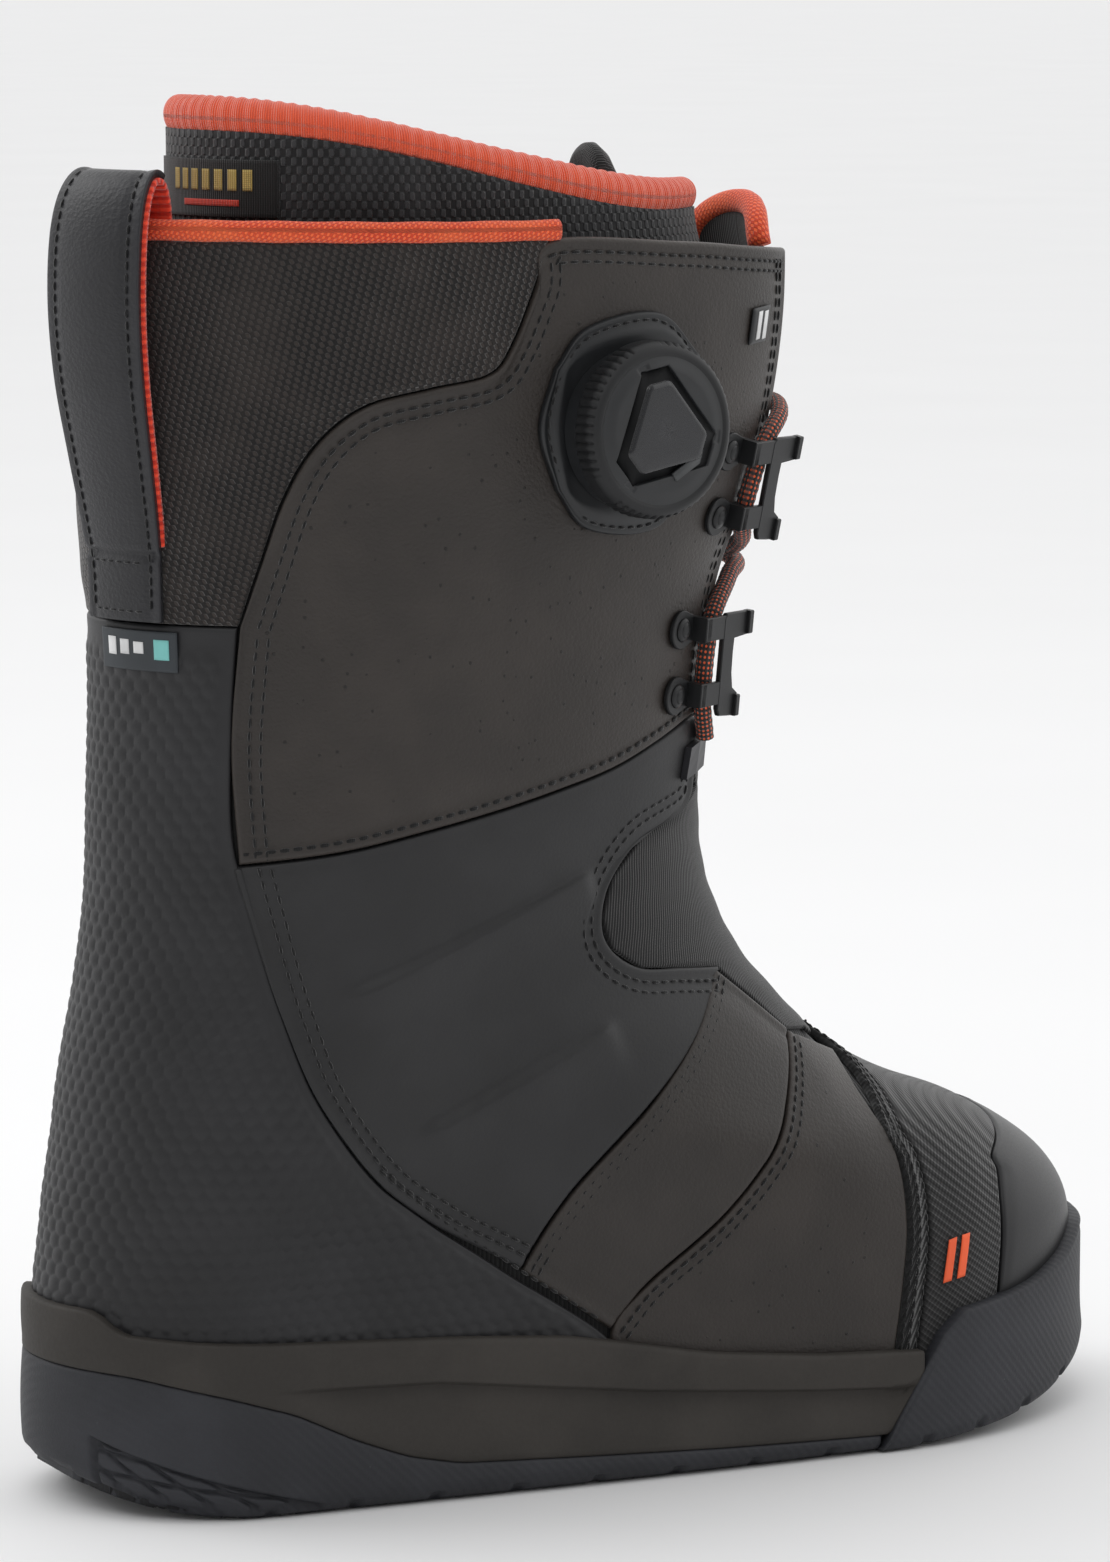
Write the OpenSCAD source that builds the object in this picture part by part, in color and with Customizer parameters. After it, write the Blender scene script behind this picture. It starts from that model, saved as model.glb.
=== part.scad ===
// Right-foot snowboard boot: sewn shell on a rubber sole, lace hooks, ratchet dial and foam liner.
// +X points to the toe, +Y to the inner (medial) side, +Z up. The sole rests on Z = 0.

/* [Sole] */
// Ground contact end at the heel
heel_contact_x = -118; // [-124:1:-110]
// Ground contact end at the ball of the foot
ball_contact_x = 66; // [60:1:72]
// Height of the floor inside the boot at the heel
heel_floor_z = 28; // [26:1:30]
// Height of the floor inside the boot at the forefoot
fore_floor_z = 16; // [15:1:18]
// How far the sole stands out from the upper
sole_lip = 3.6; // [3:0.2:4.4]
// Depth of the tread grooves
tread_depth = 3; // [2:0.5:3.5]

/* [Shell] */
// Thickness of the lining wall
lining_t = 2.2; // [1.8:0.1:2.6]
// Thickness of the sewn outer panels
panel_t = 1.8; // [1.2:0.1:2.2]
// Half of the front gap that the tongue sits in, at the shin
throat_half = 21; // [20:1:22]
// Height of the shell's collar
collar_z = 316; // [312:1:318]

/* [Liner] */
// Thickness of the liner's foam wall
liner_t = 8; // [6:0.5:9]
// Height of the liner's rim at the back
rim_back_z = 350; // [344:1:354]
// Height of the liner's rim at the front
rim_front_z = 329; // [326:1:334]

/* [Dial] */
// Radius of the dial's knob
dial_r = 22; // [21:0.5:23]
// How far the dial pulls out to let go
dial_travel = 3; // [2:0.5:3]
// Number of ratchet teeth
dial_teeth = 30; // [24:2:36]

/* [Lace] */
// Diameter of the lace
lace_d = 4.6; // [4:0.2:5]

/* [Hidden] */

layer_gap = 0.4;                       // clearance between sewn layers
seam_gap = 0.6;                        // clearance between neighbouring panels
lining_out = -0.35;                    // lining's outer face
panel_in = layer_gap;                  // panel's inner face, out from the lining
panel_out = panel_in + panel_t;        // panel's outer face
liner_off = -lining_t - 2.6;           // liner's outer face, in from the lining's outer face
eps = 0.01;

// ---------------------------------------------------------------- body shape
// One row a level: height, back x, front x, half width behind, half width ahead,
// length of the rounded back end, length of the rounded front end.
LEVELS = [
    [ 22, -150, 142, 37, 52, 46, 76],
    [ 36, -150, 142, 37, 52, 46, 76],
    [ 50, -150, 142, 37, 52, 46, 76],
    [ 58, -149, 139, 38, 52, 46, 78],
    [ 66, -148, 132, 39, 51, 47, 80],
    [ 74, -147, 120, 41, 50, 48, 82],
    [ 80, -146, 108, 42, 49, 49, 84],
    [ 86, -145,  91, 43, 48, 50, 86],
    [ 92, -144,  78, 44, 47, 52, 88],
    [100, -143,  66, 45, 46, 54, 86],
    [112, -141,  53, 46, 45, 58, 82],
    [128, -138,  39, 47, 43, 66, 78],
    [150, -135,  29, 48, 43, 73, 76],
    [175, -134,  27, 49, 45, 76, 77],
    [205, -133,  28, 51, 48, 77, 77],
    [228, -134,  32, 52, 50, 80, 80],
    [248, -135,  40, 53, 51, 82, 80],
    [268, -136,  46, 54, 52, 85, 80],
    [295, -137,  50, 55, 53, 88, 82],
    [320, -137,  50, 56, 54, 88, 84],
    [360, -137,  49, 56, 54, 88, 84]];
bottom_v = LEVELS[0][0];
LAST = len(LEVELS) - 1;

function clamp(x, lo, hi) = min(max(x, lo), hi);
function lerp(a, b, t) = a + (b - a) * t;
function smooth(t) = let (c = clamp(t, 0, 1)) c * c * (3 - 2 * c);
function unit(a) = a / norm(a);
function level_of(v, i = 0) = (i >= LAST - 1 || v < LEVELS[i + 1][0]) ? i : level_of(v, i + 1);
function level_slope(i) =
    let (a = max(i - 1, 0), b = min(i + 1, LAST))
    (LEVELS[b] - LEVELS[a]) / (LEVELS[b][0] - LEVELS[a][0]);
// The row of sizes at height v, by a cubic through the rows on each side.
function sizes_at(v) =
    let (i = level_of(v), h = LEVELS[i + 1][0] - LEVELS[i][0], t = (v - LEVELS[i][0]) / h)
    LEVELS[i] * (1 - t * t * (3 - 2 * t)) + LEVELS[i + 1] * t * t * (3 - 2 * t)
    + level_slope(i) * h * t * (1 - t) * (1 - t) - level_slope(i + 1) * h * t * t * (1 - t);
// Quarter ellipse that closes the end of a level.
function end_round(t) = let (c = 1 - clamp(t, 0, 1)) sqrt(max(0, 1 - c * c));
// Sideways bend of the foot, towards the big toe.
foot_half = 150;
function camber(x, v) =
    let (t = clamp((x + foot_half) / (2 * foot_half), 0, 1))
    (9 * pow(t, 3) - 3 * sin(180 * t)) * (1 - smooth((v - 80) / 60));
// Height of the floor inside the boot along its length.
function floor_z(x) =
    lerp(heel_floor_z, fore_floor_z, smooth((x + 95) / 130)) + 7 * pow(clamp((x - 70) / 75, 0, 1), 2);
drop_top = 86;                         // above this height a level is flat
function drop(x, v) = (floor_z(x) - bottom_v) * (1 - smooth((v - bottom_v) / (drop_top - bottom_v)));
// Point of the shell at angle a (0 at the heel, 180 at the toe, outer side first) and level v.
function skin(a, v) =
    let (k = sizes_at(v), s = (1 - cos(a)) / 2, x = lerp(k[1], k[2], s),
         w = lerp(k[3], k[4], smooth(s)) * end_round((x - k[1]) / k[5]) * end_round((k[2] - x) / k[6]))
    [x, (sin(a) >= 0 ? -w : w) + camber(x, v), v + drop(x, v)];
step_a = 1.5;
step_v = 0.8;
function skin_normal(a, v) =
    unit(cross(skin(a + step_a, v) - skin(a - step_a, v), skin(a, v + step_v) - skin(a, v - step_v)));
function shell_pt(a, v, off) = skin(a, v) + off * skin_normal(a, v);
// Angle and level of the point seen at (x, z) from the side.
function level_at(x, z, n = 4, v = -1) = n == 0 ? v : level_at(x, z, n - 1, z - drop(x, v < 0 ? z : v));
function side_uv(p) =
    let (v = level_at(p[0], p[1]), k = sizes_at(v))
    [acos(clamp(1 - 2 * (p[0] - k[1]) / (k[2] - k[1]), -1, 1)), v];
// Angle at level v where the front of the shell is y wide of its middle line.
function front_angle(v, y, lo = 90, hi = 180, n = 14) =
    n == 0 ? (lo + hi) / 2 :
    let (mid = (lo + hi) / 2, p = skin(mid, v))
    abs(p[1] - camber(p[0], v)) > y ? front_angle(v, y, mid, hi, n - 1) : front_angle(v, y, lo, mid, n - 1);
// Half width of the front gap at level v.
instep_half = 15;
function gap_half(v) = lerp(instep_half, throat_half, smooth((v - 95) / 70));

// ---------------------------------------------------------------- sheet builder
function flat2(list) = [for (row = list) for (p = row) p];
function back(list) = [for (i = [len(list) - 1 : -1 : 0]) list[i]];
function rise(z0, z1, n) = [for (k = [0 : n]) lerp(z0, z1, k / n)];
function shift(list, dx, dz = 0) = [for (p = list) p + [dx, dz]];
// Points at equal steps of a polyline's own length.
function run(p, i = 0, s = 0) = i == len(p) - 1 ? [s] : concat([s], run(p, i + 1, s + norm(p[i + 1] - p[i])));
function at_share(p, t) =
    let (s = run(p), want = t * s[len(s) - 1], i = max([for (k = [0 : len(p) - 2]) if (s[k] <= want + eps) k]))
    lerp(p[i], p[i + 1], clamp((want - s[i]) / (s[i + 1] - s[i]), 0, 1));
function steps(p, n) = [for (k = [0 : n]) at_share(p, k / n)];
// Closed solid between two grids of points of the same size, outer one first.
module sheet(outer, inner) {
    rows = len(outer);
    cols = len(outer[0]);
    n = rows * cols;
    function id(i, j) = i * cols + j;
    face = [for (i = [0 : rows - 2]) for (j = [0 : cols - 2])
        for (t = [[id(i, j), id(i, j + 1), id(i + 1, j + 1)], [id(i, j), id(i + 1, j + 1), id(i + 1, j)]]) t];
    rim = concat([for (j = [0 : cols - 1]) id(0, j)], [for (i = [1 : rows - 1]) id(i, cols - 1)],
                 [for (j = [cols - 2 : -1 : 0]) id(rows - 1, j)], [for (i = [rows - 2 : -1 : 1]) id(i, 0)]);
    m = len(rim);
    polyhedron(points = concat(flat2(outer), flat2(inner)),
        faces = concat(face, [for (t = face) back(t) + [n, n, n]],
            [for (k = [0 : m - 1]) for (t = [[rim[k], rim[(k + 1) % m] + n, rim[(k + 1) % m]],
                                             [rim[k], rim[k] + n, rim[(k + 1) % m] + n]]) t]));
}
module uv_sheet(grid, off_in, off_out) {
    sheet([for (row = grid) [for (p = row) shell_pt(p[0], p[1], off_out)]],
          [for (row = grid) [for (p = row) shell_pt(p[0], p[1], off_in)]]);
}
// Rows of [angle, level] between two edges a and b, in n steps across.
function uv_grid(a, b, n) = [for (i = [0 : len(a) - 1]) [for (j = [0 : n]) lerp(a[i], b[i], j / n)]];
// Patch bounded by four curves: low and high run along u, left and right run up w.
function coons(low, high, left, right, nu, nw) =
    let (b = steps(low, nu), t = steps(high, nu), l = steps(left, nw), r = steps(right, nw))
    [for (i = [0 : nu]) [for (j = [0 : nw]) let (u = i / nu, w = j / nw)
        lerp(b[i], t[i], w) + lerp(l[j], r[j], u) - lerp(lerp(b[0], b[nu], u), lerp(t[0], t[nu], u), w)]];
// Panel on one side of the boot, its outline seen from the side as [x, z]. The outer side is side = 1.
module side_panel(low, high, left, right, nu, nw, side, off_in = panel_in, off_out = panel_out) {
    g = coons(low, high, left, right, nu, nw);
    uv = [for (row = g) [for (p = row) let (q = side_uv(p)) [side * q[0], q[1]]]];
    uv_sheet(side > 0 ? uv : back(uv), off_in, off_out);
}
// Patch around the heel: the edge's points, top first, give each row's level and reach.
module heel_patch(edge, cols, off_in, off_out) {
    right = [for (p = edge) side_uv(p)];
    uv_sheet(uv_grid([for (p = right) [-p[0], p[1]]], right, cols), off_in, off_out);
}
// Patch over the front: edge is in [angle, level] on the outer side, and its mirror image is on the inner side.
function across(edge, cols) = uv_grid(edge, [for (p = edge) [360 - p[0], p[1]]], cols);
// Closed wall between two grids whose columns run round the boot, heel to toe on the outer side.
module loop_wall(outer, inner, floor = false) {
    rows = len(outer);
    cols = len(outer[0]);
    n = rows * cols;
    function id(i, j) = i * cols + j % cols;
    face = [for (i = [0 : rows - 2]) for (j = [0 : cols - 1])
        for (t = [[id(i, j), id(i + 1, j + 1), id(i, j + 1)], [id(i, j), id(i + 1, j), id(i + 1, j + 1)]]) t];
    function rim(i) = [for (j = [0 : cols - 1])
        for (t = [[id(i, j), id(i, j + 1), id(i, j + 1) + n], [id(i, j), id(i, j + 1) + n, id(i, j) + n]]) t];
    // The floor joins each point to the one across the boot, so it needs no middle point.
    cap = [for (j = [0 : cols / 2 - 1]) let (c = cols - j - 1, d = (cols - j) % cols)
           for (t = [[j, j + 1, c], [j, c, d]]) if (t[0] != t[1] && t[1] != t[2] && t[0] != t[2]) t];
    polyhedron(points = concat(flat2(outer), flat2(inner)),
        faces = concat(face, [for (t = face) back(t) + [n, n, n]], [for (t = rim(rows - 1)) back(t)],
                       floor ? concat(cap, [for (t = cap) back(t) + [n, n, n]]) : rim(0)));
}
// The angles of cols columns, starting at the heel.
function turn(cols) = [for (j = [0 : cols - 1]) 360 * j / cols];
function ring_grid(vs, cols, off) = [for (v = vs) [for (a = turn(cols)) shell_pt(a, v, off)]];
module ring_wall(vs, cols, off_in, off_out) {
    loop_wall(ring_grid(vs, cols, off_out), ring_grid(vs, cols, off_in));
}
// Round tube through a list of points.
module tube(path, r, sides = 8) {
    n = len(path);
    function along(i) = unit(path[min(i + 1, n - 1)] - path[max(i - 1, 0)]);
    // Each ring's first direction is the one before it, turned as little as possible.
    function carry(i, u) = unit(u - (u * along(i)) * along(i));
    first = let (d = along(0)) unit(cross(d, abs(d[2]) < 0.9 ? [0, 0, 1] : [1, 0, 0]));
    us = [for (i = 0, u = first; i < n; i = i + 1, u = i < n ? carry(i, u) : u) u];
    pts = [for (i = [0 : n - 1]) for (k = [0 : sides - 1]) let (w = cross(along(i), us[i]))
           path[i] + r * (cos(360 * k / sides) * us[i] + sin(360 * k / sides) * w)];
    polyhedron(points = pts, faces = concat(
        [for (i = [0 : n - 2]) for (k = [0 : sides - 1])
            let (a = i * sides + k, b = i * sides + (k + 1) % sides)
            for (t = [[a, b + sides, b], [a, a + sides, b + sides]]) t],
        [for (k = [1 : sides - 2]) [0, k, k + 1]],
        [for (k = [1 : sides - 2]) [0, k + 1, k] + (n - 1) * sides * [1, 1, 1]]));
}
// Smooth curve through points, m steps between each pair.
function curve(p, m = 4) =
    let (n = len(p))
    concat([for (i = [0 : n - 2]) for (k = [0 : m - 1])
        let (t = k / m, a = p[max(i - 1, 0)], b = p[i], c = p[i + 1], d = p[min(i + 2, n - 1)])
        0.5 * (2 * b + (c - a) * t + (2 * a - 5 * b + 4 * c - d) * t * t + (3 * b - a - 3 * c + d) * pow(t, 3))],
        [p[n - 1]]);

// ---------------------------------------------------------------- panel edges, seen from the side as [x, z]
heel_top = [-113, 222];
heel_edge = [heel_top, [-114, 197], [-114, 170], [-110, 150], [-105, 127], [-98, 105], [-84, 85], [-68, 72],
             [-45, 56], [-20, 39], [-14, 30]];
collar_edge = [[-39, 315.5], [-43, 304], [-49, 290], [-55, 283], [-70, 280], [-86, 276], [-97, 267],
               [-104, 254], [-109, 237], heel_top];
cuff_low = [[-113, 163], [-90, 166], [-70, 170], [-50, 174], [-32, 178], [-15, 182], [0, 187], [12, 191]];
seam_rear = [[-42, 57], [-29, 76], [-6, 97], [9, 112], [20, 126]];
seam_front = [[-17, 39], [-6, 51], [13, 65], [29, 82], [38, 95], [44, 107]];
toe_seam = [[64, 22], [67, 43], [68, 60], [67, 75], [64, 88]];
cap_edge = [[97, 30], [99, 48], [101, 62], [106, 74]];
tape_w = 6;
gusset_edge = [[22, 172], [14, 168.5], [-4, 163], [-14, 154], [-17.5, 144], [-15, 136], [-6, 130], [8, 128],
               [22, 126], [33, 117], [44, 107.5]];
function low_pt(x) = [x, floor_z(x) + 4];
function side_xz(a, v) = let (p = skin(a, v)) [p[0], p[2]];
// Edge of the front gap at level v, with room to spare.
function throat(v, room = 0) = side_xz(front_angle(v, gap_half(v) + room), v);
toe_seam_top = 102.5;                  // level where the toe seam crosses the middle line
cap_top = 78;                          // level where the toe cap's edge crosses the middle line
// Edge across the toe, from the outer side's lowest point over the middle and down again, as [angle, level].
function over_toe(edge, top_v, n) =
    let (half = steps(concat([for (p = edge) side_uv(p)], [[180, top_v]]), n))
    concat(half, [for (i = [n - 1 : -1 : 0]) [360 - half[i][0], half[i][1]]]);
// The vamp's corner where the front gap meets the toe seam.
vamp_corner = throat(98, seam_gap);

// ---------------------------------------------------------------- sole
outline_v = 36;
outline_n = 56;
function outline(off) = [for (a = turn(outline_n))
    let (p = skin(a, outline_v), q = skin_normal(a, outline_v)) [p[0], p[1]] + off * unit([q[0], q[1]])];
well_off = panel_out + 1;
sole_off = panel_out + sole_lip;
tip_x = 165;
sole_bottom = [[-tip_x, 13], [-152, 8.5], [-144, 5], [-134, 2], [heel_contact_x, 0], [ball_contact_x, 0],
               [84, 1.2], [100, 3], [116, 6], [130, 10], [142, 15], [tip_x, 25]];
outsole_top = [[-tip_x, 38], [-142, 36.5], [-120, 31], [-104, 26], [-88, 18], [-74, 12.5], [-60, 9.5],
               [-30, 8], [14, 6], [58, 4.5]];
midsole_top = [[-tip_x, 52], [-149, 52], [-144, 46.5], [-128, 45], [-60, 41.5], [-30, 39], [-12, 35.5], [10, 31],
               [40, 27.5], [72, 25.4]];
bumper_back = [[58, 0], [63, 8], [72, 22], [77, 29], [84, 34.5]];
bumper_top = [[84.7, 34.7], [98, 36], [112, 38], [126, 42], [138, 47], [tip_x, 50]];
outsole_end = bumper_back[0][0];
// Prism across the boot with its outline given in the XZ plane.
module side_prism(p) { rotate([90, 0, 0]) linear_extrude(height = 200, center = true) polygon(p); }
module sole_block(off) { linear_extrude(height = 70) polygon(outline(off)); }
module well() {
    intersection() {
        linear_extrude(height = 90) polygon(outline(well_off));
        side_prism(concat([for (x = [-tip_x : 15 : tip_x]) [x, floor_z(x) - 0.5]],
                          [[tip_x, 90], [-tip_x, 90]]));
    }
}
groove_w = 3;
groove_reach = 70;
module groove(x, lean) {
    far = x + lean;
    translate([0, 0, -1]) linear_extrude(height = tread_depth + 1)
        polygon([[x, 0], [far, -groove_reach], [far + groove_w, -groove_reach], [x + groove_w, 0],
                 [far + groove_w, groove_reach], [far, groove_reach]]);
}
insert_h = 12;
insert_half = 31;
module insert_block(room) {
    translate([0, 0, -1]) linear_extrude(height = insert_h + 1 - room)
        polygon([[-tip_x, -insert_half + room], [-126 - room, -insert_half + room],
                 [-126 - room, insert_half - room], [-tip_x, insert_half - room]]);
}
module outsole() {
    color([0.13, 0.13, 0.14]) difference() {
        intersection() {
            sole_block(sole_off);
            side_prism(concat([for (p = sole_bottom) if (p[0] < outsole_end) p], [bumper_back[0]],
                              back(outsole_top)));
        }
        well();
        for (x = [-96 : 22 : 36]) groove(x, x < -60 ? 10 : -10);
        insert_block(0);
    }
}
module heel_tread_insert() {
    color([0.08, 0.08, 0.09]) intersection() {
        insert_block(0.15);
        sole_block(sole_off - 1);
        side_prism(concat([for (p = sole_bottom) if (p[0] < -100) p], [[-100, 40], [-tip_x, 40]]));
    }
}
module toe_bumper() {
    color([0.15, 0.15, 0.16]) difference() {
        intersection() {
            sole_block(sole_off + 0.6);
            side_prism(concat(back([for (p = sole_bottom) if (p[0] > outsole_end) p]), shift(bumper_back, 0.6),
                              bumper_top));
        }
        well();
        for (x = [88, 108]) groove(x, -14);
    }
}
module midsole() {
    color([0.2, 0.19, 0.17]) difference() {
        intersection() {
            sole_block(sole_off - 1);
            side_prism(concat(shift(outsole_top, 0, 0.15),
                              [for (p = bumper_back) if (p[1] > 7 && p[1] < 24) p - [0.4, 0]], back(midsole_top)));
        }
        well();
        shank_slot();
    }
}
shank_len = 96;
module shank_slot() { translate([-60, -11, 11]) cube([shank_len + 2, 22, 3]); }
module shank() {
    color([0.55, 0.56, 0.58]) difference() {
        translate([-59, -10, 11.2]) cube([shank_len, 20, 2.6]);
        for (x = [-50, 28]) translate([x, 0, 5]) cylinder(r = 2.2, h = 20, $fn = 32);
    }
}
board_off = -lining_t - 0.8;
module slab(off, low, high) {
    intersection() {
        linear_extrude(height = 70)
            polygon([for (a = turn(outline_n)) let (p = shell_pt(a, outline_v, off)) [p[0], p[1]]]);
        side_prism(concat([for (x = [-tip_x : 15 : tip_x]) [x, floor_z(x) + low]],
                          [for (x = [tip_x : -15 : -tip_x]) [x, floor_z(x) + high]]));
    }
}
module lasting_board() { color([0.5, 0.45, 0.36]) slab(board_off, 0.3, 2.6); }
liner_base_v = 26;
liner_floor = 6;
module footbed() { color([0.25, 0.25, 0.27]) slab(liner_off - liner_t - 2.4, 11.6, 14.4); }

// ---------------------------------------------------------------- shell
split_v = 148;                         // level where the front gap begins
module vamp_lining() {
    color([0.1, 0.1, 0.1]) ring_wall(concat([bottom_v + 0.6, 36, 50], rise(60, 100, 5), [110, 122, 135, split_v]),
                                     40, -lining_t, lining_out);
}
module cuff_lining() {
    vs = concat(rise(split_v + 0.3, 205, 6), rise(228, collar_z - 0.3, 4));
    edge = [for (v = back(vs)) [front_angle(v, gap_half(v) + 0.3), v]];
    // Its top edge is lower beside the throat, where the cuff hides it.
    function top(a) = collar_z - 0.3 - 7 * smooth((abs(a) - 88) / 12);
    grid = uv_grid([for (p = edge) [-p[0], p[1]]], edge, 36);
    color([0.1, 0.1, 0.1])
    uv_sheet([for (row = grid) [for (p = row) [p[0], min(p[1], top(p[0]))]]], -lining_t, lining_out);
}
module heel_counter() {
    reach = 64;
    vs = rise(86, 36, 4);
    color([0.75, 0.75, 0.72]) uv_sheet(uv_grid([for (v = vs) [-reach, v]], [for (v = vs) [reach, v]], 24),
                                       -lining_t - 1.9, -lining_t - 0.8);
}
module heel_backstay() {
    color([0.16, 0.16, 0.17]) heel_patch(shift(steps(heel_edge, 16), -seam_gap / 2), 20, panel_in, panel_out);
}
module collar_mesh() {
    color([0.2, 0.16, 0.14]) heel_patch(shift(steps(collar_edge, 11), -seam_gap / 2, seam_gap / 2), 14,
                                        panel_in, panel_out);
}
piping_r = 1.7;
module collar_piping() {
    reach = side_uv(collar_edge[0])[0];
    color([1, 0.3, 0.12]) tube([for (k = [-14 : 14]) shell_pt(reach * k / 14, collar_z + piping_r + 0.1, 0.6)],
                               piping_r, 8);
}
cuff_top_front = collar_z - 6;
cuff_base = 192;
module cuff(side) {
    color([0.15, 0.14, 0.13])
    side_panel(concat(shift(cuff_low, 0, seam_gap / 2), [throat(cuff_base, seam_gap)]),
               concat(back(shift(collar_edge, seam_gap / 2)),
                      [[0, 314], [22, 312], throat(cuff_top_front, seam_gap)]),
               [cuff_low[0] + [0, seam_gap / 2], heel_top + [seam_gap / 2, 0]],
               [for (v = rise(cuff_base, cuff_top_front, 6)) throat(v, seam_gap)], 16, 8, side);
}
module cuff_lateral() { cuff(1); }
module cuff_medial() { cuff(-1); }
module quarter(side) {
    right = concat([for (i = [8 : -1 : 1]) gusset_edge[i] - [seam_gap, 0]], [throat(176, seam_gap)],
                   [throat(cuff_base - 1, seam_gap)]);
    color([0.19, 0.19, 0.2])
    side_panel(shift(seam_rear, -seam_gap / 2, seam_gap / 2),
               concat([[-112.4, 162.4]], shift(cuff_low, 0, -seam_gap / 2), [throat(cuff_base - 1, seam_gap)]),
               concat([seam_rear[0] + [-seam_gap / 2, seam_gap / 2]],
                      [for (i = [7 : -1 : 3]) heel_edge[i] + [seam_gap / 2, 0]], [[-112.4, 162.4]]),
               concat([seam_rear[4] + [-seam_gap / 2, seam_gap / 2]], right), 14, 12, side);
}
module quarter_lateral() { quarter(1); }
module quarter_medial() { quarter(-1); }
module strap(side) {
    color([0.16, 0.15, 0.14])
    side_panel([seam_rear[0] + [seam_gap / 2, -seam_gap / 4], seam_front[0] + [-seam_gap / 2, seam_gap]],
               [seam_rear[4] + [seam_gap / 2, -seam_gap], seam_front[5] + [-seam_gap / 2, 0]],
               shift(seam_rear, seam_gap / 2, -seam_gap / 2), shift(seam_front, -seam_gap / 2, seam_gap / 2),
               4, 12, side);
}
module strap_lateral() { strap(1); }
module strap_medial() { strap(-1); }
module vamp(side) {
    left = concat([low_pt(-13)], shift(seam_front, seam_gap / 2, -seam_gap / 2));
    right = concat(shift(toe_seam, -seam_gap / 2), [vamp_corner]);
    color([0.16, 0.15, 0.14])
    side_panel([for (x = rise(-13, toe_seam[0][0] - seam_gap / 2, 5)) x < 60 ? low_pt(x) : right[0]],
               [left[len(left) - 1], vamp_corner], left, right, 8, 11, side);
}
module vamp_lateral() { vamp(1); }
module vamp_medial() { vamp(-1); }
module instep_gusset() {
    upper = [for (v = [cuff_base - 2, 180]) [front_angle(v, gap_half(v)), v]];
    low = [for (v = [105, 103]) [front_angle(v, gap_half(v) - 0.6), v]];
    color([0.1, 0.1, 0.11]) uv_sheet(across(concat(upper, [for (p = gusset_edge) side_uv(p)], low), 12),
                                     panel_in, panel_out - 0.6);
}
module toe_tape() {
    color([0.12, 0.12, 0.12]) uv_sheet(uv_grid(over_toe(shift(toe_seam, tape_w), toe_seam_top - 3.6, 12),
                                               over_toe(shift(toe_seam, seam_gap / 2), toe_seam_top - 0.6, 12), 1),
                                       panel_in, panel_out + 0.4);
}
module toe_panel() {
    color([0.13, 0.13, 0.13]) uv_sheet(uv_grid(over_toe(cap_edge, cap_top, 12),
                                               over_toe(shift(toe_seam, tape_w + seam_gap), toe_seam_top - 4, 12), 6),
                                       panel_in, panel_out);
}
module toe_cap() {
    edge = over_toe(shift(cap_edge, seam_gap), cap_top - 0.3, 14);
    low_v = liner_base_v;
    a0 = side_uv(low_pt(cap_edge[0][0] + seam_gap))[0];
    low = [for (i = [0 : 28]) [lerp(a0, 360 - a0, i / 28), low_v]];
    color([0.14, 0.14, 0.15]) uv_sheet(uv_grid(low, edge, 8), panel_in, panel_out + 0.3);
}

// ---------------------------------------------------------------- trim at the heel
loop_mid = 13.5;                       // angle of the loop's middle, a little to the outer side of the heel
loop_half = 11.5;                      // half of its width, in degrees round the heel
// The line between the loop's leather and its webbing, as [outward, height].
loop_line = [[3.2, 223], [3.2, 236], [4.2, 246], [6.6, 262], [9.4, 281], [10.6, 300], [10, 316], [7.6, 326],
             [3.6, 331], [-0.8, 330], [-3.4, 325], [-4.1, 317], [-4.1, 306]];
function line_normal(p, i) =
    let (d = unit(p[min(i + 1, len(p) - 1)] - p[max(i - 1, 0)])) [d[1], -d[0]];
module loop_layer(path, low, high) {
    function at(i, j, t) = let (q = path[i] + t * line_normal(path, i))
        shell_pt(loop_mid + loop_half * (1 - j / 2), q[1], q[0]);
    sheet([for (i = [0 : len(path) - 1]) [for (j = [0 : 4]) at(i, j, high)]],
          [for (i = [0 : len(path) - 1]) [for (j = [0 : 4]) at(i, j, low)]]);
}
loop_path = curve(loop_line, 3);
module pull_loop() {
    // The leather stops where the loop turns down into the collar.
    color([0.12, 0.12, 0.14]) loop_layer([for (i = [0 : len(loop_path) - 10]) loop_path[i]], 0.05, 1.7);
}
module pull_loop_webbing() {
    color([0.95, 0.3, 0.12]) loop_layer([for (i = [5 : len(loop_path) - 1]) loop_path[i]], -1.3, -0.05);
}
module patch_on(a0, a1, v0, v1, off, t, na = 4) {
    uv_sheet([for (a = rise(a0, a1, na)) [for (v = rise(v0, v1, 2)) [a, v]]], off, off + t);
}
module hang_tab() { color([0.85, 0.87, 0.87]) patch_on(4, 28, 210.5, 220.5, panel_out + 0.2, 0.8); }
module cuff_badge() {
    color([0.9, 0.9, 0.9]) side_panel([[24, 287.6], [30, 288.2]], [[25.4, 295.6], [32, 296]],
                                      [[24, 287.6], [25.4, 295.6]], [[30, 288.2], [32, 296]], 2, 2, 1,
                                      panel_out + 0.2, panel_out + 1.2);
}
module toe_badge() {
    color([1, 0.4, 0.15]) side_panel([[78, 42], [87, 43]], [[79, 53], [88, 54]], [[78, 42], [79, 53]],
                                     [[87, 43], [88, 54]], 2, 2, 1, panel_out + 0.2, panel_out + 0.9);
}

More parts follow.
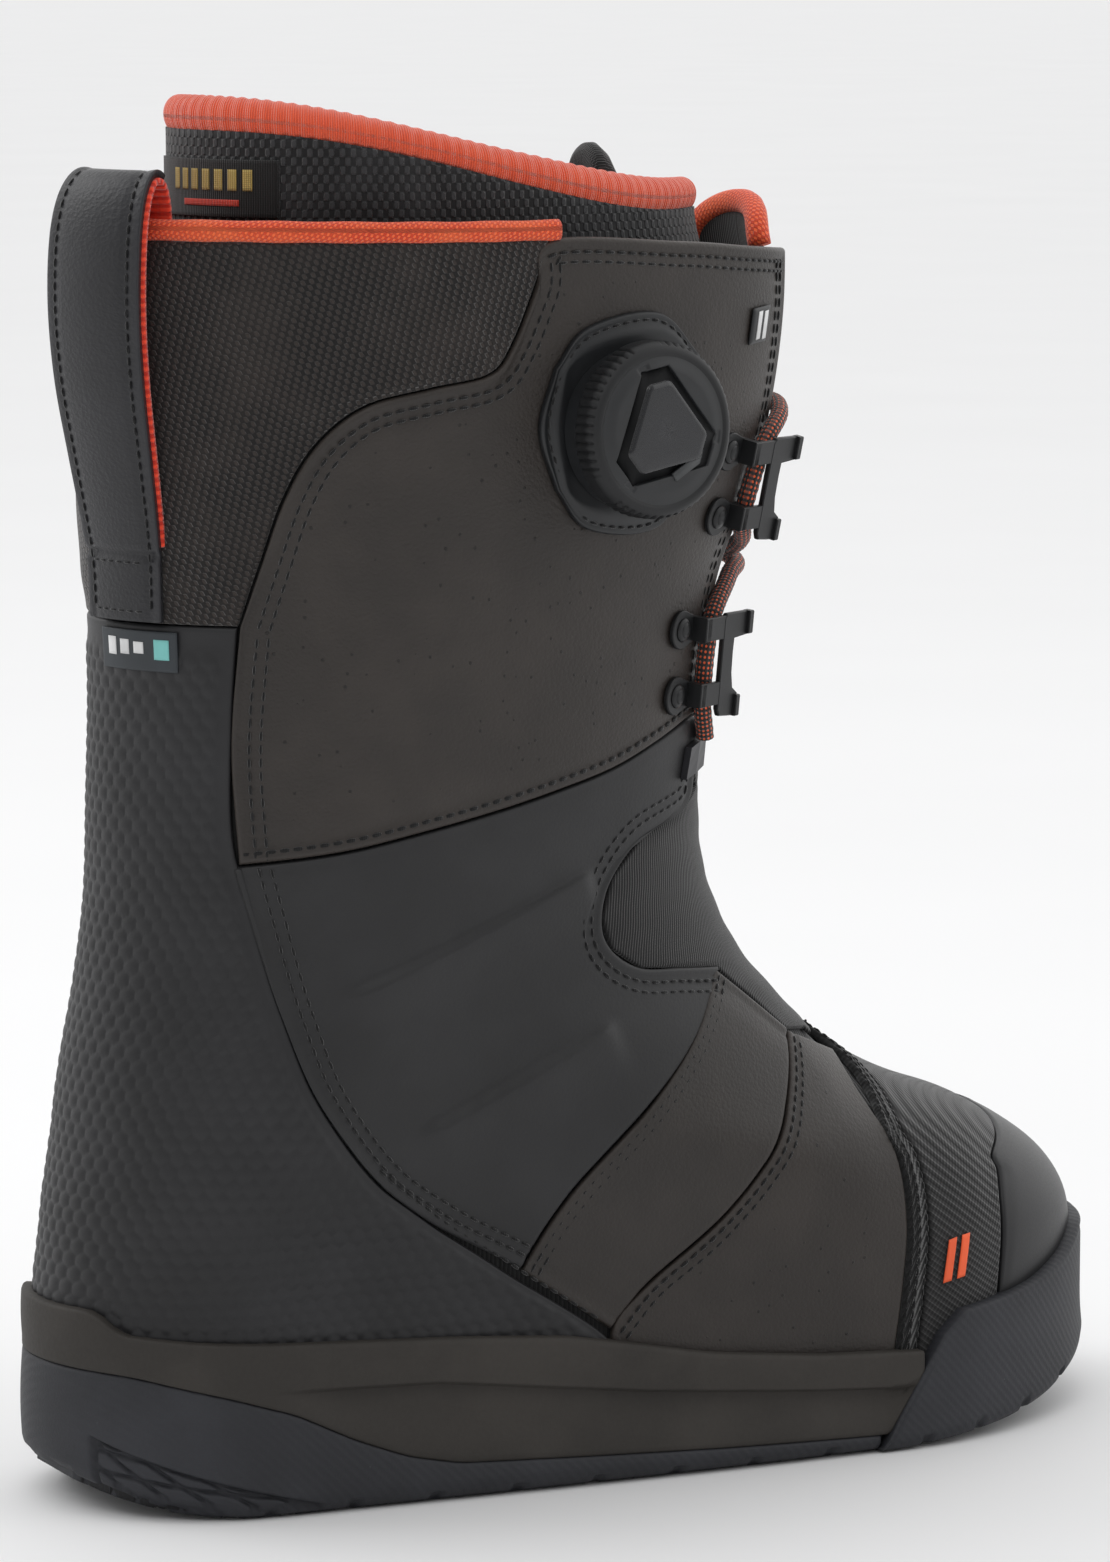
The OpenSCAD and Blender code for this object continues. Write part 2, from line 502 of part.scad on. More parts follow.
// ---------------------------------------------------------------- tongue, lace and hooks
tongue_top = collar_z - 8;
tongue_arch = 10.5;
tongue_rows = 9;
tongue_cols = 8;
function tongue_uv(i, j, rise_v = 0) =
    let (c = 2 * j / tongue_cols - 1, top = tongue_top + tongue_arch * sqrt(max(0, 1 - c * c)) + rise_v,
         v = lerp(cuff_base - 1.4, top, i / tongue_rows),
         half = front_angle(min(v, tongue_top), gap_half(v) - 1))
    [lerp(half, 360 - half, j / tongue_cols), v];
// The tongue's top leans back into the boot.
function tongue_back(v) = -4.5 * smooth((v - 290) / 28);
module tongue() {
    grid = [for (i = [tongue_rows : -1 : 0]) [for (j = [0 : tongue_cols]) tongue_uv(i, j)]];
    color([0.1, 0.1, 0.11])
    sheet([for (row = grid) [for (p = row) shell_pt(p[0], p[1], panel_in + 0.6 + tongue_back(p[1]))]],
          [for (row = grid) [for (p = row) shell_pt(p[0], p[1], -lining_t + tongue_back(p[1]))]]);
}
binding_r = 2.2;
module tongue_binding() {
    path = [for (j = [0 : 0.5 : tongue_cols]) let (p = tongue_uv(tongue_rows, j, binding_r + 1.2))
            shell_pt(p[0], p[1], tongue_back(p[1]) - 0.6)];
    color([1, 0.35, 0.15]) tube(path, binding_r, 8);
}
lace_lift = panel_out + lace_d / 2 + 0.35;   // lace's middle over the cuff
hook_a = 136;                          // angle of the hooks' rivets
lace_a = 147.5;                        // angle where the lace passes behind a hook
hook_v = [252.5, 207];                 // levels of the two pairs of hooks
hook_pitch = 8.5;                      // rivet's distance from the middle of its hook
// The lace's points as [angle, level, outward], from the outer side's anchor to the inner side's.
lace_route = [[152, 186, 0], [lace_a, 198, 0], [lace_a, 216, 0], [162, 227, 0], [180, 232, 5.2], [198, 237, 0],
              [360 - lace_a, 245, 0], [360 - lace_a, 261, 0], [202, 269, 0], [180, 270.5, 0], [158, 269, 0],
              [lace_a, 261, 0], [lace_a, 245, 0], [162, 237, 0], [180, 232, 0], [198, 227, 0],
              [360 - lace_a, 216, 0], [360 - lace_a, 198, 0], [208, 186, 0]];
module lace() {
    color([0.12, 0.1, 0.1]) tube(curve([for (p = lace_route) shell_pt(p[0], p[1], lace_lift + p[2])], 4),
                                 lace_d / 2, 8);
}
module lace_anchors() {
    color([0.12, 0.12, 0.12]) for (side = [1, -1])
        side_panel([[10, 176], [19, 178]], [[12, 184], [21, 186]], [[10, 176], [12, 184]], [[19, 178], [21, 186]],
                   2, 2, side, panel_out + 0.2, panel_out + 2);
}
// Places children with x along the shell towards the front, y up and z out, at the middle of a hook.
module on_cuff(v, side) {
    n = skin_normal(side * hook_a, v);
    t = side * unit([-n[1], n[0], 0]);
    up = side * cross(n, t);
    o = shell_pt(side * hook_a, v, panel_out);
    multmatrix([[t[0], up[0], n[0], o[0]], [t[1], up[1], n[1], o[1]], [t[2], up[2], n[2], o[2]]]) children();
}
ear_r = 5;
ear_base = 0.3;                        // ear's back face over the cuff
plate_t = 1.2;
claw_base = 4.4;                       // claw's back face, which leaves room for the lace
claw_top = claw_base + 1.4;
rivet_r = 2;
module slab_at(x0, x1, y0, y1, z0, z1) { translate([x0, y0, z0]) cube([x1 - x0, y1 - y0, z1 - z0]); }
module hook(v, side) {
    color([0.12, 0.12, 0.13]) on_cuff(v, side) difference() {
        union() {
            for (s = [-1, 1]) {
                translate([0, s * hook_pitch, ear_base]) cylinder(r = ear_r, h = plate_t, $fn = 48);
                slab_at(0, 7, s * hook_pitch - 3.6, s * hook_pitch + 3.6, ear_base, ear_base + plate_t);
                slab_at(5, 7.4, s * hook_pitch - 3.6, s * hook_pitch + 3.6, ear_base, claw_top);
                slab_at(5, 14.5, s * hook_pitch - 3, s * hook_pitch + 3, claw_base, claw_top);
            }
            slab_at(14, 19.5, -13, 12, claw_base, claw_top);
            slab_at(19, 27, 6, 12, claw_base, claw_top);
            slab_at(19, 23.5, -15, -9, claw_base, claw_top);
        }
        for (s = [-1, 1]) translate([0, s * hook_pitch, -1]) cylinder(r = rivet_r + 0.05, h = 4, $fn = 32);
    }
}
module hook_upper_lateral() { hook(hook_v[0], 1); }
module hook_lower_lateral() { hook(hook_v[1], 1); }
module hook_upper_medial() { hook(hook_v[0], -1); }
module hook_lower_medial() { hook(hook_v[1], -1); }
module rivet() {
    head_base = ear_base + plate_t + 0.05;
    translate([0, 0, -1.5]) cylinder(r = rivet_r, h = 1.6 + head_base, $fn = 32);
    translate([0, 0, head_base]) cylinder(r = 3.1, h = 0.9, $fn = 32);
}
module hook_rivets() {
    color([0.1, 0.1, 0.11]) for (v = hook_v, side = [1, -1], s = [-1, 1])
        on_cuff(v, side) translate([0, s * hook_pitch, 0]) rivet();
}

// ---------------------------------------------------------------- dial
dial_a = 108;
dial_v = 269;
flange_t = 2.2;
dial_n = let (q = skin_normal(dial_a, dial_v)) unit([q[0], q[1], 0]);
dial_o = shell_pt(dial_a, dial_v, panel_out + 0.2 + flange_t);
// Places children with z along the dial's axis, its zero at the flange's face, and y up.
module at_dial() {
    multmatrix([[-dial_n[1], 0, dial_n[0], dial_o[0]], [dial_n[0], 0, dial_n[1], dial_o[1]], [0, 1, 0, dial_o[2]]])
        children();
}
module pipe(r_out, r_in, z0, z1) {
    difference() {
        translate([0, 0, z0]) cylinder(r = r_out, h = z1 - z0, $fn = 96);
        translate([0, 0, z0 - 1]) cylinder(r = r_in, h = z1 - z0 + 2, $fn = 96);
    }
}
stem_r = 2.4;
fit = 0.06;                            // radial clearance of a running fit
floor_h = 1.6;
ring_r = 17.4;                         // outside of the toothed ring
teeth_r = 15.9;                        // inside of the toothed ring
ring_top = 9.6;
skirt_z = 5.2;                         // lower edge of the knob
knob_top = 13.4;
module dial_flange() {
    color([0.1, 0.1, 0.11])
    side_panel([[-37, 254], [-28, 244], [-8, 243], [3, 254]], [[-38, 284], [-29, 294], [-9, 297], [4, 286]],
               [[-37, 254], [-42, 269], [-38, 284]], [[3, 254], [8, 269], [4, 286]], 8, 8, 1,
               panel_out + 0.2, panel_out + 0.2 + flange_t);
}
module dial_housing() {
    color([0.08, 0.08, 0.09]) at_dial() difference() {
        union() {
            translate([0, 0, -1]) cylinder(r = 20, h = 5.4, $fn = 96);
            translate([0, 0, 4]) cylinder(r = ring_r, h = ring_top - 4, $fn = 96);
        }
        translate([0, 0, floor_h]) cylinder(r = teeth_r - 2, h = 20, $fn = 96);
        translate([0, 0, 6.8]) cylinder(r = teeth_r, h = 20, $fn = 96);
        translate([0, 0, -5]) cylinder(r = stem_r + fit, h = 20, $fn = 48);
        for (k = [1 : dial_teeth]) rotate(360 * k / dial_teeth)
            translate([teeth_r - 0.3, -0.6, 7]) cube([1, 1.2, 5]);
        for (s = [-1, 1]) translate([s * 6, 0, 4]) rotate([90, 0, 0]) cylinder(r = 0.9, h = 30, $fn = 24);
    }
}
module dial_spool() {
    color([0.6, 0.6, 0.62]) at_dial() difference() {
        union() {
            pipe(13.2, stem_r + 0.4, floor_h + 0.4, floor_h + 1.4);
            pipe(9, stem_r + 0.4, floor_h + 1, 5.6);
            pipe(13.2, stem_r + 0.4, 5.4, 6.4);
        }
        translate([11, 0, 0]) cylinder(r = 0.8, h = 3.2, $fn = 24);
    }
}
module dial_stem() {
    color([0.7, 0.7, 0.72]) at_dial() {
        translate([0, 0, 0.9]) cylinder(r = stem_r, h = 9.1, $fn = 48);
        translate([0, 0, 9.6]) cylinder(r = 4.4, h = 1.4, $fn = 6);
    }
}
pawl_z = 7.1;
module dial_pawl_disc() {
    color([0.85, 0.55, 0.2]) at_dial() difference() {
        union() {
            translate([0, 0, pawl_z]) cylinder(r = 13.4, h = 2.1, $fn = 96);
            for (k = [0 : 3]) rotate(90 * k) translate([11, -2, pawl_z]) cube([4.2, 4, 2.1]);
        }
        translate([0, 0, 5]) cylinder(r = stem_r + fit, h = 9, $fn = 48);
    }
}
core_r = dial_r - 1.8;
module dial_knob() {
    color([0.1, 0.1, 0.12]) at_dial() difference() {
        union() {
            translate([0, 0, skirt_z]) cylinder(r = core_r, h = knob_top - skirt_z - 1, $fn = 96);
            translate([0, 0, skirt_z]) cylinder(r = core_r - 1.5, h = knob_top - skirt_z, $fn = 96);
        }
        difference() {
            translate([0, 0, skirt_z - 1]) cylinder(r = ring_r + 0.5, h = 12 - skirt_z, $fn = 96);
            pipe(11, 6, pawl_z + 2.1, 20);
        }
    }
}
module dial_grip() {
    color([0.07, 0.07, 0.08]) at_dial() difference() {
        pipe(dial_r, core_r + 0.05, skirt_z, knob_top - 1.4);
        for (k = [1 : 36]) rotate(10 * k) translate([dial_r - 0.7, -0.9, skirt_z - 1]) cube([2, 1.8, 20]);
    }
}
module dial_cap() {
    color([0.05, 0.05, 0.06]) at_dial() intersection() {
        translate([0, 0, knob_top]) cylinder(r = 15, h = 1.2, $fn = 96);
        linear_extrude(height = 40) polygon([for (k = [0 : 2]) for (s = [-14, 14])
            16.5 * [cos(120 * k + s + 90), sin(120 * k + s + 90)]]);
    }
}
cable_off = -lining_t - 0.95;
cable_r = 0.5;
cable_route = [[dial_a, 256], [112, 240], [122, 218], [140, 203], [160, 197], [180, 196], [200, 197], [220, 203],
               [238, 216], [246, 232]];
function cable_pts(i0, i1, m) =
    curve([for (i = [i0 : i1]) shell_pt(cable_route[i][0], cable_route[i][1], cable_off)], m);
module dial_cable() { color([0.7, 0.7, 0.72]) tube(cable_pts(0, 9, 4), cable_r, 8); }
// Short sleeves that lead the cable round its bends.
module cable_guides() {
    color([0.2, 0.2, 0.22]) for (i = [1, 3, 6, 8]) tube(cable_pts(i, i + 1, 3), 0.7, 8);
}

// ---------------------------------------------------------------- liner
liner_in = liner_off - liner_t;
liner_split = 146;
collar_h = 12;                         // height of the soft band round the liner's rim
liner_gap = 17;                        // half of the gap in front that the liner's tongue fills
// The liner draws in towards its middle above the ankle, and its tongue leans back.
draw_x = 0.21;
draw_y = 0.08;
middle_x = -42;
draw_v = 262;                           // level where it starts to draw in
draw_len = 62;
tongue_lean = 22;
tongue_lean_v = 285;
tongue_lean_len = 50;
liner_tongue_top = 326;
liner_tongue_arch = 10;
// Level of the liner's rim at angle a.
function rim_v(a) = lerp(rim_back_z, rim_front_z, smooth((1 - cos(a)) / 2 * 1.15));
function liner_pt(a, v, off, lean = 0) =
    let (p = shell_pt(a, v, off), s = smooth((v - draw_v) / draw_len))
    [lerp(p[0], middle_x, draw_x * s) - lean * smooth((v - tongue_lean_v) / tongue_lean_len),
     p[1] * (1 - draw_y * s), p[2]];
module liner_sheet(grid, off_in, off_out, lean = 0) {
    sheet([for (row = grid) [for (p = row) liner_pt(p[0], p[1], off_out, lean)]],
          [for (row = grid) [for (p = row) liner_pt(p[0], p[1], off_in, lean)]]);
}
module liner_foot() {
    vs = [liner_base_v, 38, 52, 64, 74, 84, 94, 106, 120, 134, liner_split - 0.2];
    inner = ring_grid(vs, 36, liner_in);
    color([0.13, 0.13, 0.14]) loop_wall(ring_grid(vs, 36, liner_off),
        [for (i = [0 : len(vs) - 1]) [for (p = inner[i]) p + [0, 0, i == 0 ? liner_floor : 0]]], true);
}
function liner_uv(t0, t1, rows, cols) =
    [for (i = [rows : -1 : 0]) [for (j = [0 : cols])
        let (half = front_angle(230, liner_gap + 6), a = lerp(-half, half, j / cols),
             base = liner_split + 0.2, top = rim_v(a) - collar_h)
        [a, lerp(base, top, lerp(t0, t1, i / rows))]]];
module liner_shaft() { color([0.14, 0.14, 0.15]) liner_sheet(liner_uv(0, 1, 10, 32), liner_in, liner_off); }
module liner_collar() {
    half = front_angle(230, liner_gap + 6);
    color([0.95, 0.33, 0.15]) liner_sheet([for (i = [2 : -1 : 0]) [for (j = [0 : 32])
        let (a = lerp(-half, half, j / 32)) [a, rim_v(a) - collar_h + 0.2 + (collar_h - 0.2) * i / 2]]],
        liner_in - 1, liner_off);
}
module liner_tongue() {
    rows = 11;
    color([0.12, 0.12, 0.13]) liner_sheet([for (i = [rows : -1 : 0]) [for (j = [0 : 8])
        let (c = j / 4 - 1, top = liner_tongue_top + liner_tongue_arch * sqrt(max(0, 1 - c * c)),
             v = lerp(liner_split + 0.4, top, i / rows),
             half = front_angle(230, liner_gap + 5 - 9 * smooth((v - 262) / 26)))
        [lerp(half, 360 - half, j / 8), v]]], liner_in, liner_off, tongue_lean);
}
module liner_label() {
    color([0.1, 0.1, 0.1])
    liner_sheet([for (a = rise(-14, 38, 10)) [for (v = rise(321, 335, 2)) [a, v]]], liner_off + 0.3, liner_off + 1.1);
}

outsole();
toe_bumper();
heel_tread_insert();
midsole();
shank();
lasting_board();
footbed();
vamp_lining();
cuff_lining();
heel_counter();
heel_backstay();
collar_mesh();
collar_piping();
cuff_lateral();
cuff_medial();
quarter_lateral();
quarter_medial();
strap_lateral();
strap_medial();
vamp_lateral();
vamp_medial();
instep_gusset();
toe_tape();
toe_panel();
toe_cap();
pull_loop();
pull_loop_webbing();
hang_tab();
cuff_badge();
toe_badge();
tongue();
tongue_binding();
lace();
lace_anchors();
hook_upper_lateral();
hook_lower_lateral();
hook_upper_medial();
hook_lower_medial();
hook_rivets();
dial_flange();
dial_housing();
dial_spool();
dial_stem();
dial_pawl_disc();
dial_knob();
dial_grip();
dial_cap();
dial_cable();
cable_guides();
liner_foot();
liner_shaft();
liner_collar();
liner_tongue();
liner_label();
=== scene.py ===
"""Looks of a right-foot snowboard boot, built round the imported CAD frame.

Lengths are in millimetres until a mesh is made."""
import math

import bpy
import numpy as np
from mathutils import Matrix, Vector


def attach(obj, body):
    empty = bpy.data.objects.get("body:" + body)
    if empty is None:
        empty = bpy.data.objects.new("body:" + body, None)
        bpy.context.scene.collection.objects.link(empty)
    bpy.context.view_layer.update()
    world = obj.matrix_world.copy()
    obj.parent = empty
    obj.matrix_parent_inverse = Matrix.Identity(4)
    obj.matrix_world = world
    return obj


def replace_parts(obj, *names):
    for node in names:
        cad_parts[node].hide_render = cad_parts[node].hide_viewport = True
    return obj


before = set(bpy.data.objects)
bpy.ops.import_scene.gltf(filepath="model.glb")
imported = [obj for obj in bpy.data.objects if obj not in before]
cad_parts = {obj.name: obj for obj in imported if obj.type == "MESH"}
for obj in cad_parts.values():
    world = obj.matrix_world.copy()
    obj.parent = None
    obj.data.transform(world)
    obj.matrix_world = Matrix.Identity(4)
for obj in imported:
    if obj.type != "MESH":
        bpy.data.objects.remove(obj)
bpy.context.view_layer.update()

MM = 0.001

# ---------------------------------------------------------------- shell shape, the same rule as the CAD part
# height, back x, front x, half width behind, half width ahead, rounded length behind, rounded length ahead
LEVELS = np.array([
    [22, -150, 142, 37, 52, 46, 76],
    [36, -150, 142, 37, 52, 46, 76],
    [50, -150, 142, 37, 52, 46, 76],
    [58, -149, 139, 38, 52, 46, 78],
    [66, -148, 132, 39, 51, 47, 80],
    [74, -147, 120, 41, 50, 48, 82],
    [80, -146, 108, 42, 49, 49, 84],
    [86, -145, 91, 43, 48, 50, 86],
    [92, -144, 78, 44, 47, 52, 88],
    [100, -143, 66, 45, 46, 54, 86],
    [112, -141, 53, 46, 45, 58, 82],
    [128, -138, 39, 47, 43, 66, 78],
    [150, -135, 29, 48, 43, 73, 76],
    [175, -134, 27, 49, 45, 76, 77],
    [205, -133, 28, 51, 48, 77, 77],
    [228, -134, 32, 52, 50, 80, 80],
    [248, -135, 40, 53, 51, 82, 80],
    [268, -136, 46, 54, 52, 85, 80],
    [295, -137, 50, 55, 53, 88, 82],
    [320, -137, 50, 56, 54, 88, 84],
    [360, -137, 49, 56, 54, 88, 84]], float)
HEEL_FLOOR, FORE_FLOOR = 28, 16
BOTTOM_V, DROP_TOP = 22, 86
LINING_T, PANEL_T, LAYER_GAP, SEAM_GAP = 2.2, 1.8, 0.4, 0.6
PANEL_IN = LAYER_GAP
PANEL_OUT = PANEL_IN + PANEL_T
LINER_OFF, LINER_T = -LINING_T - 2.6, 8
THROAT_HALF, INSTEP_HALF = 21, 15
COLLAR_Z = 316


def lerp(a, b, t):
    return a + (b - a) * t


def smooth(t):
    c = np.clip(t, 0, 1)
    return c * c * (3 - 2 * c)


def level_slopes():
    lo = np.maximum(np.arange(len(LEVELS)) - 1, 0)
    hi = np.minimum(np.arange(len(LEVELS)) + 1, len(LEVELS) - 1)
    return (LEVELS[hi] - LEVELS[lo]) / (LEVELS[hi, 0] - LEVELS[lo, 0])[:, None]


SLOPES = level_slopes()


def sizes_at(v):
    i = np.clip(np.searchsorted(LEVELS[:, 0], v, side="right") - 1, 0, len(LEVELS) - 2)
    h = (LEVELS[i + 1, 0] - LEVELS[i, 0])[..., None]
    t = (np.asarray(v)[..., None] - LEVELS[i, 0][..., None]) / h
    blend = t * t * (3 - 2 * t)
    return (LEVELS[i] * (1 - blend) + LEVELS[i + 1] * blend
            + SLOPES[i] * h * t * (1 - t) ** 2 - SLOPES[i + 1] * h * t * t * (1 - t))


def end_round(t):
    c = 1 - np.clip(t, 0, 1)
    return np.sqrt(np.maximum(0, 1 - c * c))


def camber(x, v):
    t = np.clip((x + 150) / 300, 0, 1)
    return (9 * t ** 3 - 3 * np.sin(np.pi * t)) * (1 - smooth((v - 80) / 60))


def floor_z(x):
    return lerp(HEEL_FLOOR, FORE_FLOOR, smooth((x + 95) / 130)) + 7 * np.clip((x - 70) / 75, 0, 1) ** 2


def drop(x, v):
    return (floor_z(x) - BOTTOM_V) * (1 - smooth((v - BOTTOM_V) / (DROP_TOP - BOTTOM_V)))


def skin(a, v):
    """Point of the shell at angle a in degrees (0 heel, 180 toe, outer side first) and level v."""
    a, v = np.broadcast_arrays(np.asarray(a, float), np.asarray(v, float))
    k = sizes_at(v)
    s = (1 - np.cos(np.radians(a))) / 2
    x = lerp(k[..., 1], k[..., 2], s)
    w = lerp(k[..., 3], k[..., 4], smooth(s))
    w = w * end_round((x - k[..., 1]) / k[..., 5]) * end_round((k[..., 2] - x) / k[..., 6])
    y = np.where(np.sin(np.radians(a)) >= 0, -w, w) + camber(x, v)
    return np.stack([x, y, v + drop(x, v)], -1)


def unit(p):
    return p / np.maximum(np.linalg.norm(p, axis=-1, keepdims=True), 1e-9)


def skin_normal(a, v):
    a, v = np.broadcast_arrays(np.asarray(a, float), np.asarray(v, float))
    return unit(np.cross(skin(a + 1.5, v) - skin(a - 1.5, v), skin(a, v + 0.8) - skin(a, v - 0.8)))


def shell(a, v, off):
    return skin(a, v) + np.asarray(off)[..., None] * skin_normal(a, v)


def side_uv(p):
    """Angle and level of the points seen at (x, z) from the side."""
    p = np.asarray(p, float)
    v = p[..., 1].copy()
    for _ in range(5):
        v = p[..., 1] - drop(p[..., 0], v)
    k = sizes_at(v)
    c = np.clip(1 - 2 * (p[..., 0] - k[..., 1]) / (k[..., 2] - k[..., 1]), -1, 1)
    return np.stack([np.degrees(np.arccos(c)), v], -1)


def gap_half(v):
    return lerp(INSTEP_HALF, THROAT_HALF, smooth((v - 95) / 70))


def front_angle(v, y):
    """Angle at level v where the front of the shell is y wide of its middle line."""
    v = np.asarray(v, float)
    lo, hi = np.full(v.shape, 90.0), np.full(v.shape, 180.0)
    for _ in range(24):
        mid = (lo + hi) / 2
        p = skin(mid, v)
        wide = np.abs(p[..., 1] - camber(p[..., 0], v)) > y
        lo, hi = np.where(wide, mid, lo), np.where(wide, hi, mid)
    return (lo + hi) / 2


def throat(v, room=0.0):
    p = skin(front_angle(v, gap_half(v) + room), v)
    return [float(p[..., 0]), float(p[..., 2])]


# Length round the boot from the heel, by angle and level, for patterns that keep their size.
ARC_A = np.linspace(0, 180, 181)
ARC_V = np.linspace(22, 360, 170)
_ring = skin(ARC_A[None, :], ARC_V[:, None])
ARC = np.concatenate([np.zeros((len(ARC_V), 1)),
                      np.cumsum(np.linalg.norm(np.diff(_ring, axis=1), axis=-1), axis=1)], 1)


def arc(a, v):
    a = np.asarray(a, float)
    sign = np.where(a < 0, -1.0, 1.0)
    fold = np.where(np.abs(a) > 180, 360 - np.abs(a), np.abs(a))
    i = np.clip((np.asarray(v) - 22) / (ARC_V[1] - ARC_V[0]), 0, len(ARC_V) - 1.001)
    j = np.clip(fold, 0, 179.999)
    i0, j0 = i.astype(int), j.astype(int)
    fi, fj = i - i0, j - j0
    top = lerp(ARC[i0, j0], ARC[i0, j0 + 1], fj)
    low = lerp(ARC[i0 + 1, j0], ARC[i0 + 1, j0 + 1], fj)
    return sign * lerp(top, low, fi)


# ---------------------------------------------------------------- curves and patches
def smooth_line(points, n=160):
    """Catmull-Rom curve through points, as n points at equal steps."""
    p = np.asarray(points, float)
    q = np.concatenate([[2 * p[0] - p[1]], p, [2 * p[-1] - p[-2]]])
    out = []
    for i in range(len(p) - 1):
        t = np.linspace(0, 1, 24, endpoint=False)[:, None]
        a, b, c, d = q[i], q[i + 1], q[i + 2], q[i + 3]
        out.append(0.5 * (2 * b + (c - a) * t + (2 * a - 5 * b + 4 * c - d) * t ** 2
                          + (3 * b - a - 3 * c + d) * t ** 3))
    out = np.concatenate(out + [p[-1:]])
    s = np.concatenate([[0], np.cumsum(np.linalg.norm(np.diff(out, axis=0), axis=1))])
    want = np.linspace(0, s[-1], n)
    return np.stack([np.interp(want, s, out[:, k]) for k in range(out.shape[1])], -1)


def at(line, t):
    """Points of an evenly spaced line at shares t."""
    x = np.asarray(t) * (len(line) - 1)
    return np.stack([np.interp(x, np.arange(len(line)), line[:, k]) for k in range(line.shape[1])], -1)


def line_length(line):
    return float(np.linalg.norm(np.diff(line, axis=0), axis=1).sum())


def spread(length, step):
    """Shares along a length, with extra ones close to both ends for a rounded edge."""
    fine = np.array([0, 0.15, 0.4, 0.8, 1.4, 2.2]) / length
    fine = fine[fine < 0.3]
    mid = np.linspace(3.2 / length, 1 - 3.2 / length, max(3, int(length / step)))
    return np.concatenate([fine, mid, 1 - fine[::-1]])


def coons(low, high, left, right, step):
    b, t, l, r = [smooth_line(c) for c in (low, high, left, right)]
    u = spread((line_length(b) + line_length(t)) / 2, step)
    w = spread((line_length(l) + line_length(r)) / 2, step)
    U, W = u[:, None, None], w[None, :, None]
    corners = lerp(lerp(b[0], b[-1], U), lerp(t[0], t[-1], U), W)
    return lerp(at(b, u)[:, None], at(t, u)[:, None], W) + lerp(at(l, w)[None], at(r, w)[None], U) - corners


def edge_distance(P):
    """Distance along the surface from each grid point to the four edges, as (left, right, low, high)."""
    along = np.cumsum(np.linalg.norm(np.diff(P, axis=0), axis=-1), 0)
    round_ = np.cumsum(np.linalg.norm(np.diff(P, axis=1), axis=-1), 1)
    du = np.concatenate([np.zeros((1, P.shape[1])), along])
    dw = np.concatenate([np.zeros((P.shape[0], 1)), round_], 1)
    return du, du[-1:] - du, dw, dw[:, -1:] - dw


# ---------------------------------------------------------------- meshes
def make_mesh(name, verts, faces, material, attrs=None, body="boot", smooth_shade=True):
    mesh = bpy.data.meshes.new(name)
    mesh.from_pydata(np.asarray(verts, float) * MM, [], [tuple(int(i) for i in f) for f in faces])
    for key, value in (attrs or {}).items():
        value = np.asarray(value, float)
        if value.ndim == 1:
            mesh.attributes.new(key, "FLOAT", "POINT").data.foreach_set("value", value)
        else:
            mesh.attributes.new(key, "FLOAT_VECTOR", "POINT").data.foreach_set("vector", value.ravel())
    mesh.polygons.foreach_set("use_smooth", [smooth_shade] * len(mesh.polygons))
    mesh.validate()
    mesh.update()
    piece = bpy.data.objects.new(name, mesh)
    bpy.context.scene.collection.objects.link(piece)
    mesh.materials.append(material)
    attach(piece, body)
    return piece


def grid_faces(rows, cols, wrap=False, start=0, flip=False):
    last = cols if wrap else cols - 1
    i, j = np.meshgrid(np.arange(rows - 1), np.arange(last), indexing="ij")
    a = start + i * cols + j
    b = start + i * cols + (j + 1) % cols
    f = np.stack([a, a + cols, b + cols, b], -1).reshape(-1, 4)
    return f[:, ::-1] if flip else f


def slab_mesh(name, outer, inner, material, attrs=None, wrap=False, body="boot", flip=False):
    """Closed solid between two grids of the same size; rows by columns, outward by rows cross columns."""
    rows, cols = outer.shape[:2]
    n = rows * cols
    faces = [grid_faces(rows, cols, wrap, 0, flip), grid_faces(rows, cols, wrap, n, not flip)]
    if wrap:
        ends = [(np.arange(cols), False), ((rows - 1) * cols + np.arange(cols), True)]
        for ring, top in ends:
            nxt = np.roll(ring, -1)
            f = np.stack([ring, nxt, nxt + n, ring + n], -1)
            faces.append(f if top == flip else f[:, ::-1])
    else:
        rim = np.concatenate([np.arange(cols), cols * np.arange(1, rows) + cols - 1,
                              (rows - 1) * cols + np.arange(cols - 2, -1, -1),
                              cols * np.arange(rows - 2, 0, -1)])
        nxt = np.roll(rim, -1)
        f = np.stack([rim, nxt, nxt + n, rim + n], -1)
        faces.append(f[:, ::-1] if flip else f)
    full = {k: np.concatenate([np.asarray(val).reshape(n, -1)] * 2).squeeze()
            for k, val in (attrs or {}).items()}
    verts = np.concatenate([outer.reshape(-1, 3), inner.reshape(-1, 3)])
    return make_mesh(name, verts, np.concatenate(faces), material, full, body)


def panel(name, uv, material, node, off_in=PANEL_IN, off_out=PANEL_OUT, relief=None, edge_r=1.1, side=1,
          pattern=None):
    """Sewn panel on the shell with rounded edges. relief(ctx) adds to its height in millimetres."""
    a, v = side * uv[..., 0], uv[..., 1]
    base = skin(a, v)
    n = skin_normal(a, v)
    dist = edge_distance(base)
    d = np.minimum.reduce(dist)
    thick = (off_out - off_in) * (0.45 + 0.55 * end_round(d / edge_r))
    mm = np.stack([arc(a, v), base[..., 2], np.zeros_like(v)], -1) if pattern is None else pattern(base)
    ctx = {"a": a, "v": v, "p": base, "mm": mm, "d": d, "dist": dist}
    height = thick + (relief(ctx) if relief else 0)
    outer = base + (off_in + height)[..., None] * n
    inner = base + off_in * n
    piece = slab_mesh(name, outer, inner, material, {"mm": mm, "edge": np.minimum(d, 50)}, flip=side > 0)
    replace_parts(piece, node)
    return piece


STITCH_RING = 6


